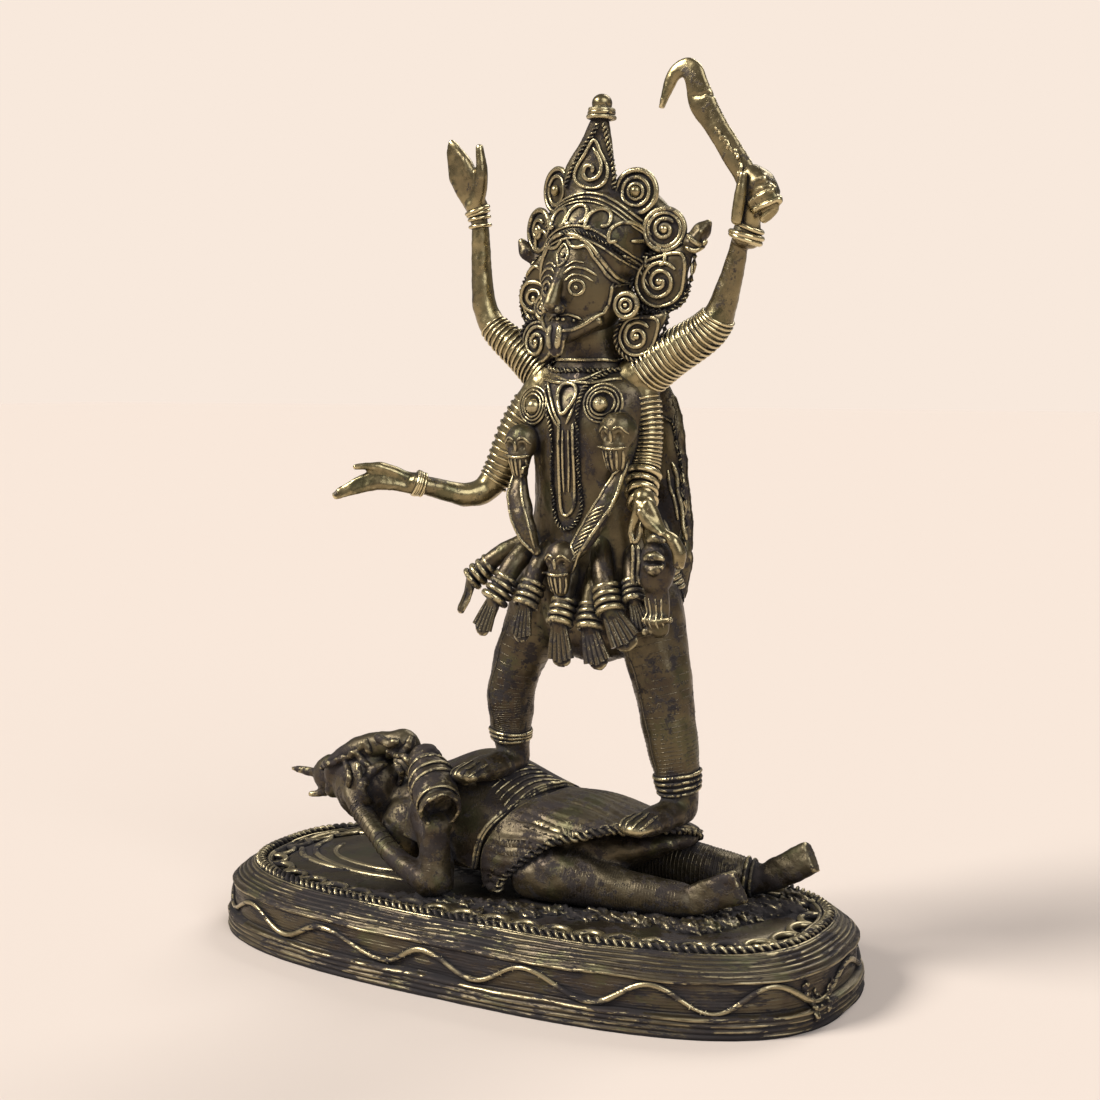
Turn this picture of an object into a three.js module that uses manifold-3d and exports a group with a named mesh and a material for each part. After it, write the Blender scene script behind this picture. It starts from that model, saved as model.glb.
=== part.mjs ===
// A cast brass temple group: a four-armed goddess strides over a man who lies on an oval footed base.
// Three castings brazed together. Millimetres, +Z up, +X along the base, -Y is the front.
// The origin is the middle of the base's underside.
import * as THREE from "three";
import { mergeVertices } from "three/addons/utils/BufferGeometryUtils.js";
import Module from "manifold-3d";

const wasm = await Module();
wasm.setup();

// Base: a hollow oval shell, open underneath
const baseLength = 220;
const baseWidth = 109;
const baseHeight = 22;
const wallThickness = 3.2;
const footBand = 6.6;
const waveBand = 10.4;
const bandRecess = 2.4;
const edgeWire = 1.7;
const bevelWidth = 6.2;
const ropeRise = 2;
const ropeWidth = 4.4;
const waveCount = 15;
const waveWire = 1.2;
const waveClearance = 0.2;
const waveShift = 0.23;
const loopCount = 24;
const loopSpan = 9;
const loopRise = 2.6;
const loopWire = 1.1;
const loopInset = 0.8;

// Figures: their poses are shares of these two sizes
const figureHeight = 220;
const lyingLength = 180;

// How deep a foot sinks in its brazed bed, and the fit between two castings
const footSink = 1.6;
const fitGap = 0.3;

// Blade of the sickle sword
const bladeThickness = 3;

// Roundness of the oval, and the steps that each wave of its wire is drawn with
const ovalPower = 2.8;
const stepsPerWave = 4;
const hollowSides = 36;

// Where the lying man's hips are on the base, and how far along it the goddess's middle line is
const lyingAlong = 5;
const lyingAcross = 2;
const standingAlong = 24;
const lyingOffset = new THREE.Vector3(lyingAlong, lyingAcross, baseHeight);

const high = new THREE.Vector3(0, 0, 1);
const brass = (color, roughness) => new THREE.MeshStandardMaterial({ color, roughness, metalness: 1 });

// Solids from closed meshes

function solidOf(geometry) {
  const bare = geometry.clone();
  bare.deleteAttribute("normal");
  bare.deleteAttribute("uv");
  const merged = mergeVertices(bare, 1e-4);
  const mesh = new wasm.Mesh({
    numProp: 3,
    vertProperties: new Float32Array(merged.attributes.position.array),
    triVerts: new Uint32Array(merged.index.array),
  });
  return new wasm.Manifold(mesh);
}

function geometryOf(solid) {
  const mesh = solid.getMesh();
  const geometry = new THREE.BufferGeometry();
  geometry.setAttribute("position", new THREE.BufferAttribute(mesh.vertProperties, 3));
  geometry.setIndex(new THREE.BufferAttribute(mesh.triVerts, 1));
  return geometry;
}

const fuse = (solids) => solids.reduce((whole, piece) => whole.add(piece));

// Rings of points skinned into one closed surface, with a pole at each end
function skin(rings, firstPole, lastPole) {
  const sides = rings[0].length;
  const points = [...rings.flat(), firstPole, lastPole];
  const index = [];
  const first = points.length - 2;
  const last = points.length - 1;
  const end = (rings.length - 1) * sides;
  for (let side = 0; side < sides; side += 1) {
    const next = (side + 1) % sides;
    for (let row = 0; row < end; row += sides) {
      index.push(row + side, row + next, row + sides + next);
      index.push(row + side, row + sides + next, row + sides + side);
    }
    index.push(first, next, side);
    index.push(last, end + side, end + next);
  }
  const geometry = new THREE.BufferGeometry().setFromPoints(points);
  geometry.setIndex(index);
  return geometry;
}

// Where a limb's rings are: even steps, and between them the ridges and grooves of its bands
function limbRows(spans, bands) {
  const rows = [];
  for (let span = 0; span <= spans; span += 1) {
    const t = span / spans;
    const nearBand = bands.some(({ from, to }) => t > from - 0.02 && t < to + 0.02);
    if (!nearBand || span === 0 || span === spans) rows.push({ t, swell: 1 });
  }
  for (const { from, to, count, rise } of bands) {
    rows.push({ t: from, swell: 1 });
    for (let ridge = 0; ridge < count; ridge += 1) {
      const at = (share) => from + (to - from) * (ridge + share) / count;
      rows.push({ t: at(0.25), swell: 1 + rise }, { t: at(0.75), swell: 1 + rise });
      if (ridge < count - 1) rows.push({ t: at(1), swell: 1 + rise * 0.2 });
    }
    rows.push({ t: to, swell: 1 });
  }
  return rows.sort((one, other) => one.t - other.t);
}

// A limb: oval rings along a smooth path. A station is [place, half width, flatness along flatAxis].
// A band is a stretch of wound rings, from and to being shares of the path.
function limb(stations, { sides = 7, steps = 1, flatAxis = new THREE.Vector3(0, 1, 0), round = false, bands = [] } = {}) {
  const path = new THREE.CatmullRomCurve3(stations.map(([place]) => place));
  const sizes = new THREE.CatmullRomCurve3(
    stations.map(([, width, flatness = 1]) => new THREE.Vector3(width, flatness, 0)),
    false, "catmullrom", 0.4,
  );
  let across = null;
  const ring = (centre, tangent, width, flatness) => {
    if (!across) {
      across = new THREE.Vector3(1, 0, 0);
      if (Math.abs(tangent.x) > 0.8) across.set(0, 0, 1);
    }
    across.addScaledVector(tangent, -across.dot(tangent)).normalize();
    const up = tangent.clone().cross(across);
    return Array.from({ length: sides }, (_, side) => {
      const angle = (side + 0.5) / sides * Math.PI * 2;
      const out = across.clone().multiplyScalar(Math.cos(angle) * width);
      out.addScaledVector(up, Math.sin(angle) * width);
      out.addScaledVector(flatAxis, out.dot(flatAxis) * (flatness - 1));
      return out.add(centre);
    });
  };
  const endReach = round ? 0.5 : 0;
  const endRing = (t, way) => {
    const { x: width, y: flatness } = sizes.getPoint(t);
    const tangent = path.getTangent(t);
    const shoulder = path.getPoint(t).addScaledVector(tangent, width * endReach * 0.7 * way);
    return round ? [ring(shoulder, tangent, width * 0.66, flatness)] : [];
  };
  const pole = (t, way) => {
    const { x: width } = sizes.getPoint(t);
    return path.getPoint(t).addScaledVector(path.getTangent(t), width * endReach * way);
  };
  const rings = endRing(0, -1);
  for (const { t, swell } of limbRows((stations.length - 1) * steps, bands)) {
    const { x: width, y: flatness } = sizes.getPoint(t);
    rings.push(ring(path.getPoint(t), path.getTangent(t), width * swell, flatness));
  }
  rings.push(...endRing(1, 1));
  return solidOf(skin(rings, pole(0, -1), pole(1, 1)));
}

// An egg shape with three half sizes
function egg(place, halfX, halfY, halfZ, sides = 8) {
  const geometry = new THREE.SphereGeometry(1, sides, Math.round(sides * 0.6));
  geometry.rotateX(Math.PI / 2);
  geometry.scale(halfX, halfY, halfZ);
  geometry.translate(place.x, place.y, place.z);
  return solidOf(geometry);
}

// A shape turned about the line from one place to another; the profile is [radius, share of the line]
function turned(from, to, profile, sides = 8) {
  const line = to.clone().sub(from);
  const long = line.length();
  const points = profile.map(([radius, share]) => new THREE.Vector2(radius, share * long));
  const geometry = new THREE.LatheGeometry(points, sides);
  geometry.applyQuaternion(new THREE.Quaternion().setFromUnitVectors(new THREE.Vector3(0, 1, 0), line.normalize()));
  geometry.translate(from.x, from.y, from.z);
  return solidOf(geometry);
}

// A flat coil disc with a raised rim and boss, its face towards facing
function coilDisc(place, facing, radius, thickness, sides = 9) {
  const back = place.clone().addScaledVector(facing, -thickness / 2);
  const front = place.clone().addScaledVector(facing, thickness / 2);
  const profile = [[0, 0], [radius, 0.2], [radius * 0.9, 1], [radius * 0.55, 0.6], [0, 1.3]];
  return turned(back, front, profile, sides);
}

// Base

const halfLength = baseLength / 2;
const halfWidth = baseWidth / 2;
const bevelInset = bandRecess + bevelWidth;
const waveTop = footBand + waveBand;

function ovalPoint(angle, inset, z) {
  const power = 2 / ovalPower;
  const cos = Math.cos(angle);
  const sin = Math.sin(angle);
  return new THREE.Vector3(
    Math.sign(cos) * Math.abs(cos) ** power * (halfLength - inset),
    Math.sign(sin) * Math.abs(sin) ** power * (halfWidth - inset),
    z,
  );
}

// Angles that space the points evenly along the oval
function ovalAngles(count) {
  const samples = 720;
  const lengths = [0];
  for (let step = 1; step <= samples; step += 1) {
    const here = ovalPoint(step / samples * Math.PI * 2, 0, 0);
    const before = ovalPoint((step - 1) / samples * Math.PI * 2, 0, 0);
    lengths.push(lengths[step - 1] + here.distanceTo(before));
  }
  return Array.from({ length: count }, (_, number) => {
    const wanted = number / count * lengths[samples];
    const step = Math.max(1, lengths.findIndex((length) => length >= wanted));
    const part = (wanted - lengths[step - 1]) / (lengths[step] - lengths[step - 1]);
    return (step - 1 + part) / samples * Math.PI * 2;
  });
}

// Ovals one above the other; a row is [inset, height, swing], swing being how far it rises and falls in waves
function ovalSolid(rows, sides) {
  const angles = ovalAngles(sides);
  const ovals = rows.map(([inset, z, swing = 0]) => angles.map((angle, step) => (
    ovalPoint(angle, inset, z + Math.sin((step / stepsPerWave + waveShift) * Math.PI * 2) * swing)
  )));
  const firstPole = new THREE.Vector3(0, 0, rows[0][1]);
  const lastPole = new THREE.Vector3(0, 0, rows[rows.length - 1][1]);
  return solidOf(skin(ovals, firstPole, lastPole));
}

function ovalBase() {
  const waveMiddle = footBand + (waveBand - edgeWire) / 2;
  const waveSwing = (waveBand - edgeWire) / 2 - waveWire - waveClearance;
  const footChamfer = 0.8;
  const outside = ovalSolid([
    [0, 0],
    [0, footBand - footChamfer],
    [bandRecess, footBand],
    [bandRecess, waveMiddle - waveWire, waveSwing],
    [bandRecess - waveWire, waveMiddle, waveSwing],
    [bandRecess, waveMiddle + waveWire, waveSwing],
    [bandRecess, waveTop - edgeWire],
    [bandRecess - edgeWire / 2, waveTop - edgeWire / 2],
    [bevelInset, baseHeight],
    [bevelInset + ropeWidth / 2, baseHeight + ropeRise],
    [bevelInset + ropeWidth, baseHeight],
  ], waveCount * stepsPerWave);
  const inside = ovalSolid([
    [wallThickness, -1],
    [wallThickness + bandRecess, footBand],
    [wallThickness + bandRecess, waveTop - wallThickness],
    [wallThickness + bevelInset, baseHeight - wallThickness],
  ], hollowSides);
  return fuse([outside.subtract(inside), ...rimLoops(), ...brazeLumps()]);
}

// Small arched loops set side by side inside the rope
function rimLoops() {
  const inset = bevelInset + ropeWidth + loopInset;
  const nearby = 0.01;
  return ovalAngles(loopCount).map((angle) => {
    const centre = ovalPoint(angle, inset, baseHeight - loopWire / 2);
    const along = ovalPoint(angle + nearby, inset, baseHeight - loopWire / 2).sub(centre).normalize();
    const inward = new THREE.Vector3(-along.y, along.x, 0);
    const arch = [-1, 0, 1].map((share) => {
      const rise = 1 - share * share;
      const place = centre.clone().addScaledVector(along, share * loopSpan / 2);
      place.addScaledVector(inward, rise * loopSpan / 2);
      place.z += rise * loopRise;
      return [place, loopWire];
    });
    return limb(arch, { sides: 3, steps: 2 });
  });
}

// Rough lumps of braze under the lying man's elbow, thigh and feet
function brazeLumps() {
  const lumps = [[-14, -11, 5], [9, -13, 5.4], [41, 0, 5.2], [31, 5, 4.6]];
  const lumpHeight = 2.6;
  return lumps.map(([x, y, wide]) => {
    const place = lie(x, y, 0);
    return egg(place, lyingShare(wide), lyingShare(wide * 0.8), lumpHeight, 7);
  });
}

// Lying man: x runs from his head to his feet, in hundredths of his length, from his hips on the base

const lie = (x, y, z) => new THREE.Vector3(x, y, z).multiplyScalar(lyingLength / 100).add(lyingOffset);
const lyingShare = (share) => share * lyingLength / 100;
const lyingPose = (stations) => stations.map(([x, y, z, width, flatness]) => [
  lie(x, y, z), lyingShare(width), flatness,
]);

// The places on him that her two feet tread
const chestBed = lie(-6.8, -3.4, 21.4);
const lapBed = lie(26.2, -2.6, 16.2);

function lyingTrunk() {
  return [
    limb(lyingPose([
      [-25, -0.5, 11.4, 7.6, 0.76], [-17, -0.5, 11.2, 11.2, 0.86], [-8, -0.5, 11.2, 11.6, 0.88],
      [1, -0.5, 8.8, 10.2, 0.84], [8, -0.5, 7.4, 9, 0.84],
    ]), { sides: 10, flatAxis: high }),
    limb(lyingPose([
      [4, 0.5, 8.4, 9, 0.74], [12, 1, 9, 9.4, 0.62], [19, 1.6, 10.4, 8.6, 0.4], [24, 2, 11.4, 7, 0.3],
    ]), { sides: 9, flatAxis: high }),
    limb(lyingPose([[-37, -3, 13, 5], [-31, -2.6, 11.4, 4.6], [-24, -1.8, 11.4, 6.4]]), { sides: 7 }),
    egg(lie(-25, -6.4, 8.4), lyingShare(6), lyingShare(4.6), lyingShare(6), 7),
  ];
}

function lyingHead() {
  return [
    egg(lie(-36, -3.6, 15), lyingShare(7.6), lyingShare(6.6), lyingShare(7.6), 9),
    limb(lyingPose([[-34.4, -10, 20, 0.6], [-32.8, -10.8, 14.4, 1], [-33, -10, 9.6, 0.7]]), { sides: 4 }),
    limb(lyingPose([
      [-43.4, -5, 13, 2], [-42, -6, 18, 2.3], [-36, -6, 22.2, 2.4], [-30, -5.4, 23.6, 2.2], [-27, -5, 24.2, 2],
      [-25, -3, 20, 1.8],
    ]), { sides: 6 }),
    egg(lie(-46.6, -1, 14.8), lyingShare(4.4), lyingShare(3.8), lyingShare(3.8), 7),
    limb(lyingPose([[-48, -1.2, 14.6, 1.1, 0.7], [-56.6, -1.2, 14.9, 0.6, 0.8]]), { sides: 5 }),
  ];
}

function lyingArms() {
  return [
    limb(lyingPose([[-19, -8, 12, 4.4], [-15, -13, 7.4, 3.2], [-11.6, -18, 3, 3]]), { sides: 7 }),
    limb(lyingPose([[-11.6, -18, 2.8, 2.8], [-12, -17.8, 8, 2.5], [-11.6, -18, 13.4, 3]]), { sides: 7 }),
    limb(lyingPose([
      [-37, -9, 14.6, 1.5], [-34, -10, 11.6, 1.9], [-29, -12.4, 8.8, 1.8], [-22, -15.6, 5.4, 2], [-13, -18.4, 2.8, 2.7],
    ]), { sides: 5 }),
    limb(lyingPose([
      [-20, 9, 11, 4.4], [-12, 14, 6, 3.4], [-2, 16.4, 3.4, 3], [8, 16, 2.4, 2.6], [13, 15.6, 2, 2.2],
    ]), { sides: 6 }),
  ];
}

// The hand drum he holds up
function handDrum() {
  const profile = [[0, 0], [2.9, 0.1], [2.6, 0.26], [3.9, 0.42], [3.9, 0.84], [3.7, 1], [0, 0.97]];
  const inPlace = profile.map(([radius, share]) => [lyingShare(radius), share]);
  return turned(lie(-20.3, -9.2, 23.6), lie(-9.4, -20, 16.4), inPlace, 9);
}

// His feet are thin slabs that stand on edge
function lyingLegs() {
  return [
    limb(lyingPose([
      [2, -9.4, 4.4, 4.2], [8, -9, 5, 4.9], [16.4, -7.8, 4, 4], [22.7, -7, 3.4, 3.5], [30.4, -5.4, 2.9, 2.9],
    ])),
    limb(lyingPose([[7, 7.6, 5.6, 5.4], [17.7, 10, 5, 4.7], [27.8, 9.8, 4.2, 4], [36, 11.4, 3.4, 3]])),
    limb(lyingPose([[29.4, -5.6, 2.2, 2.8, 0.6], [35.2, -6, 4.8, 3.1, 0.55], [40.6, -5.4, 7.4, 3, 0.4]]), { sides: 6 }),
    limb(lyingPose([[35.4, 11.6, 2.4, 2.6, 0.8], [41, 11.4, 5.4, 2.9, 0.7], [46.8, 11, 8.8, 2.8, 0.5]]), { sides: 6 }),
  ];
}

// His hide cloth: three lines round the hips and thighs, from the waist to the hem
const clothLines = {
  waist: [
    [-5, -12.4, 2], [-4.6, -13.2, 9], [-1, -9.6, 14.8], [3, -3, 16.8], [3.4, 4, 16.4], [2, 10, 12.6], [0, 13.4, 6],
    [-0.6, 13.4, 2],
  ],
  middle: [
    [-3.8, -12.9, 2], [-2, -13.5, 7.4], [3.2, -11.4, 12.6], [10.6, -5, 16.4], [13, 3.2, 16.4], [12, 10, 12.6],
    [8, 14.2, 6], [6, 14.6, 2],
  ],
  hem: [
    [-2.6, -12.7, 1.6], [-1.3, -13, 4.2], [2.9, -13, 8.1], [9.6, -11.8, 12.3], [16.4, -11, 14.3], [23.3, -8.8, 15],
    [26.4, -6, 14.9], [28.4, -2, 14.2], [28.6, 4.4, 11.8], [25.4, 9.6, 9.4], [20, 13.4, 6], [15, 15, 2],
  ],
};
const clothThickness = 4;
const clothColumns = 8;

function hideCloth() {
  const lines = Object.values(clothLines).map((line) => {
    const curve = new THREE.CatmullRomCurve3(line.map((place) => lie(...place)));
    return Array.from({ length: clothColumns + 1 }, (_, column) => curve.getPointAt(column / clothColumns));
  });
  const core = lie(10, 0.5, 4);
  const inner = (place) => place.clone().lerp(core, clothThickness / place.distanceTo(core));
  const plates = [];
  for (let row = 1; row < lines.length; row += 1) {
    for (let column = 0; column < clothColumns; column += 1) {
      const corners = [lines[row - 1], lines[row]].flatMap((line) => [line[column], line[column + 1]]);
      const around = [...corners, ...corners.map(inner)];
      plates.push(wasm.Manifold.hull(around.map((place) => place.toArray())));
    }
  }
  return fuse(plates);
}

// The twisted hem, low on both sides and high over the lap
function hemRope() {
  const ropeHalf = 0.9;
  return limb(lyingPose(clothLines.hem.map((place) => [...place, ropeHalf])), { sides: 4 });
}

function lyingMan() {
  return fuse([
    ...lyingTrunk(), ...lyingHead(), ...lyingArms(), handDrum(), ...lyingLegs(), hideCloth(), hemRope(),
  ]);
}

// Goddess: hundredths of her height, from her middle line at the height of the lap that she treads

const standingOrigin = new THREE.Vector3(standingAlong, 0, lapBed.z);
const figureShare = (share) => share * figureHeight / 100;
const stand = (x, y, z) => new THREE.Vector3(x, y, z).multiplyScalar(figureHeight / 100).add(standingOrigin);
const poseOf = (stations) => stations.map(([x, y, z, width, flatness]) => [
  stand(x, y, z), figureShare(width), flatness,
]);

// A place on her head, which is turned a little and has a middle line of its own
const headTurn = -4 * Math.PI / 180;
const headAxis = 0.4;
const headLean = 0.06;
const chinHeight = 67;
const faceWay = new THREE.Vector3(0, -1, 0).applyAxisAngle(high, headTurn);

function onHead(x, y, z) {
  const turnedPlace = new THREE.Vector3(x, y, 0).applyAxisAngle(high, headTurn);
  const lean = (z - chinHeight) * headLean;
  return stand(headAxis + lean + turnedPlace.x, turnedPlace.y, z);
}
const headPose = (stations) => stations.map(([x, y, z, width, flatness]) => [
  onHead(x, y, z), figureShare(width), flatness,
]);

function torsoAndCape() {
  return [
    limb(poseOf([
      [0, 0.6, 26, 11, 0.6], [0, 0.2, 33, 11.6, 0.56], [0, -0.4, 39, 10, 0.62], [0, -1, 46, 8.6, 0.7],
      [0, -1.4, 54, 9, 0.72], [-0.2, -0.8, 59, 9.4, 0.6], [-0.2, -0.6, 63, 5.4, 0.8], [0, -0.8, 68, 4.3, 1],
    ]), { sides: 10 }),
    limb(poseOf([
      [-0.6, 5, 64, 7, 0.42], [0, 6, 56, 10.4, 0.3], [0.2, 6.2, 46, 11.6, 0.22], [0.4, 5.6, 36, 12.2, 0.24],
      [1, 4.6, 29, 11, 0.3],
    ]), { sides: 8 }),
  ];
}

function bosses() {
  return [[-6.6, 57.6], [5, 58]].map(([x, z]) => {
    const way = stand(x, -7.6, z).sub(stand(x * 0.9, -4, z)).normalize();
    return coilDisc(stand(x, -6.2, z), way, figureShare(3.5), figureShare(2.4), 8);
  });
}

function raisedEmptyArm() {
  return [
    limb(poseOf([
      [-6, 0, 60, 3.6], [-11, 0.2, 64, 2.8], [-16.6, 0, 68.4, 2], [-18.4, -0.3, 73, 1.7], [-18.5, -0.9, 83, 1.3],
      [-18.9, -1.4, 86, 1.6],
    ]), { sides: 6, bands: [{ from: 0.1, to: 0.34, count: 2, rise: 0.16 }, { from: 0.78, to: 0.92, count: 1, rise: 0.4 }] }),
    limb(poseOf([
      [-18.9, -1.4, 86, 1.5, 0.6], [-20.6, -1.9, 90, 2.3, 0.5], [-22.7, -2.3, 95, 1, 0.6],
    ]), { sides: 6 }),
    limb(poseOf([[-18.5, -1.9, 87, 1, 0.8], [-17.2, -2.4, 90, 0.9], [-17.4, -2.6, 93.6, 0.6]]), { sides: 5 }),
  ];
}

function givingArm() {
  return [
    limb(poseOf([
      [-7, -0.6, 60, 3.4], [-11.4, -1.6, 54, 2.9], [-15.4, -2, 46.6, 2.2], [-18, -4.6, 44.4, 1.8],
      [-22.3, -9.4, 45.8, 1.4], [-23.6, -10.8, 46.3, 1.6],
    ]), { sides: 6, bands: [{ from: 0.08, to: 0.38, count: 2, rise: 0.2 }, { from: 0.76, to: 0.94, count: 1, rise: 0.4 }] }),
    limb(poseOf([
      [-23.4, -10.6, 46.2, 1.5, 0.7], [-26.4, -12.6, 47, 1.9, 0.4], [-30.8, -15.4, 45.6, 1.4, 0.4],
      [-34.2, -16.6, 44.4, 0.6, 0.6],
    ]), { sides: 6, flatAxis: high }),
    limb(poseOf([
      [-24.4, -11.6, 47, 1, 0.6], [-27.4, -13.8, 48.8, 1, 0.6], [-30.8, -15.8, 48.4, 0.6, 0.7],
    ]), { sides: 5, flatAxis: high }),
  ];
}

function swordArm() {
  return [
    limb(poseOf([
      [6, 0, 60.6, 3.4], [11.6, -0.4, 64.2, 3], [17.8, -0.8, 67.8, 2.5], [20.4, -1.2, 71.8, 1.9],
      [22.7, -1.8, 79.6, 1.15], [24, -2.2, 83, 1.4],
    ]), { sides: 6, bands: [{ from: 0.1, to: 0.38, count: 2, rise: 0.14 }, { from: 0.74, to: 0.92, count: 1, rise: 0.35 }] }),
    limb(poseOf([
      [24, -2.2, 82.4, 1.6], [25, -2.6, 84.8, 2.5, 0.9], [25.6, -2.6, 87, 1.7],
    ]), { sides: 6, round: true }),
  ];
}

// The lower left arm, which holds a cut head by its hair
function trophyArm() {
  return [
    limb(poseOf([
      [7.4, -0.6, 60, 2.7], [8.9, -1.2, 54, 2], [9, -2.2, 49, 2], [9.6, -4.6, 45.4, 1.8],
      [12, -7.4, 42, 1.5], [13.4, -8.6, 38.8, 1.1],
    ]), { sides: 6, bands: [{ from: 0.1, to: 0.38, count: 1, rise: 0.1 }, { from: 0.4, to: 0.66, count: 3, rise: 0.25 }] }),
    egg(stand(14.2, -9, 36), figureShare(2.5), figureShare(2.6), figureShare(4.2), 8),
    limb(poseOf([[14.2, -9, 33, 1.8, 0.8], [14.6, -9.2, 27.6, 1.6, 0.6]]), { sides: 5 }),
  ];
}

// The sickle sword's flat blade: its two edges are smooth curves through [x, z] in hundredths
function bladePlate() {
  const outerEdge = [
    [26.6, 85.2], [25.2, 88], [23.2, 91.4], [21, 95], [18.8, 99.4], [17.3, 102.4], [15.3, 103.6], [13.1, 102.8],
    [11.8, 100.6], [11.2, 97.4],
  ];
  const innerEdge = [
    [12.2, 97.4], [13.2, 99.4], [14, 100.8], [14.8, 100.8], [15.2, 99.4], [15.4, 97.2], [17.4, 93.8], [20.1, 90.1],
    [21.8, 86.8], [23.4, 84],
  ];
  const curve = (points) => new THREE.SplineCurve(points.map(([x, z]) => new THREE.Vector2(x, z)));
  const outline = [...curve(outerEdge).getPoints(12), ...curve(innerEdge).getPoints(12)];
  const shape = new THREE.Shape(outline.map((point) => point.multiplyScalar(figureHeight / 100)));
  const geometry = new THREE.ExtrudeGeometry(shape, { depth: bladeThickness, bevelEnabled: false });
  geometry.translate(0, 0, -bladeThickness / 2);
  geometry.rotateX(Math.PI / 2);
  const place = stand(0, -2.8, 0);
  geometry.translate(place.x, place.y, place.z);
  return solidOf(geometry);
}

function sword() {
  return [
    bladePlate(),
    limb(poseOf([[24, -3.7, 87.4, 0.8], [23.4, -4.3, 84.6, 1], [23.1, -3.8, 81.6, 1]]), { sides: 5 }),
    limb(poseOf([[25.2, -2.8, 86.8, 1.6], [28, -2.8, 84.2, 1]]), { sides: 6 }),
  ];
}

function face() {
  return [
    limb(headPose([
      [0, -1.6, 67.6, 3, 0.9], [0, -2.1, 71, 5.4, 0.95], [0, -1.8, 75.4, 6, 0.95], [0, -1.2, 80, 5.6, 0.95],
    ]), { sides: 10 }),
    limb(headPose([[0, -7.2, 77.4, 0.7], [0, -8.6, 73.6, 0.9], [0, -8.4, 71.4, 1.3]]), { sides: 5 }),
    limb(headPose([[0, -6.6, 69.4, 1, 0.7], [0, -8.2, 67, 1.1, 0.6], [0, -8, 64.2, 0.9, 0.6]]), { sides: 5 }),
    limb(headPose([[-4, -5, 68.6, 1], [0, -6.4, 68, 1.5], [4, -5, 68.6, 1]]), { sides: 5 }),
  ];
}

function crown() {
  const browBand = [[-7, 1, 76.6], [-6, -5, 79], [0, -8.6, 80.6], [6, -5, 79], [7, 1, 76.6]];
  const discs = [
    { at: [7.4, -2, 87], radius: 3.2 }, { at: [11.2, -1, 81.6], radius: 3.2 },
    { at: [11, -0.8, 73.2], radius: 4.8 }, { at: [8.2, -2.2, 66.8], radius: 3.6 },
    { at: [6.6, -3.8, 71.4], radius: 1.6 },
  ];
  const pieces = [
    limb(headPose(browBand.map((place) => [...place, 1.2])), { sides: 5 }),
    limb(headPose([
      [0, -0.8, 78, 7.4, 0.96], [0, -0.9, 82, 7.4, 0.9], [0, -1, 85.4, 5.6, 0.8], [0, -1, 87.6, 2.4, 0.8],
    ]), { sides: 10 }),
    limb(headPose([
      [0, -3.6, 85.4, 2.6, 0.5], [0, -3.4, 89.4, 4.6, 0.36], [0, -3, 93.6, 2.8, 0.5], [0, -2.6, 97, 1.4, 0.9],
    ]), { sides: 8 }),
    turned(onHead(0, -2.4, 95.6), onHead(0, -2.4, 100), [
      [0, 0], [figureShare(2.1), 0.3], [figureShare(1.5), 0.45], [figureShare(1.9), 0.62], [0, 1],
    ], 7),
  ];
  for (const side of [-1, 1]) {
    for (const { at: [x, y, z], radius } of discs) {
      pieces.push(coilDisc(onHead(side * x, y, z), faceWay, figureShare(radius), figureShare(1.8), 8));
    }
    pieces.push(limb(headPose([
      [side * 9, 0.4, 78, 1.5], [side * 13.4, 0, 78.6, 1.1], [side * 15.6, -0.4, 80.6, 1.4],
    ]), { sides: 5 }));
    pieces.push(limb(headPose([
      [side * 5, 0.6, 86, 2.8, 0.7], [side * 9.6, 0.6, 81, 2.8, 0.6], [side * 10.4, 0.4, 74, 2.6, 0.6],
      [side * 6, 0.4, 67, 2.6, 0.6],
    ]), { sides: 5 }));
  }
  return pieces;
}

function skull(x, y, z, wide, tall) {
  return [
    egg(stand(x, y, z + tall * 0.25), figureShare(wide), figureShare(wide * 0.9), figureShare(tall * 0.62), 7),
    limb(poseOf([
      [x, y - wide * 0.3, z - tall * 0.2, wide * 0.72, 0.8], [x, y - wide * 0.2, z - tall * 0.85, wide * 0.5, 0.8],
    ]), { sides: 6 }),
  ];
}

// Long rope necklace, three heads on a garland, its two curled ends and the neck collar
function garland() {
  const necklace = [
    [-4.4, -6.6, 60], [-3.6, -7.2, 52], [-3.3, -7.2, 43], [0, -8, 39.6], [3.3, -7.2, 43], [3.6, -7.2, 52],
    [4.4, -6.6, 60],
  ];
  return [
    ...skull(-8, -6.6, 51.4, 2.5, 4),
    ...skull(7.2, -6.8, 53, 2.7, 4.4),
    ...skull(0, -9.6, 35.6, 2.4, 4),
    limb(poseOf(necklace.map((place) => [...place, 0.8])), { sides: 4 }),
    limb(poseOf([
      [8.2, -6.4, 50, 0.6, 0.7], [6, -8, 44.4, 1.4, 0.7], [3, -9, 39, 1.4, 0.7], [0.6, -9.2, 35.6, 0.8, 0.7],
    ]), { sides: 5 }),
    limb(poseOf([
      [-8.6, -6, 49, 0.6, 0.7], [-8, -7.6, 44.6, 1.6, 0.7], [-6.4, -8.4, 40, 1.6, 0.7], [-5, -8, 37, 0.7, 0.7],
    ]), { sides: 5 }),
    turned(stand(0, -0.7, 61.4), stand(0, -0.7, 66), [
      [0, 0], [figureShare(5.5), 0.3], [figureShare(4.8), 0.5], [figureShare(5), 0.8], [0, 0.95],
    ], 9),
  ];
}

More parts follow.
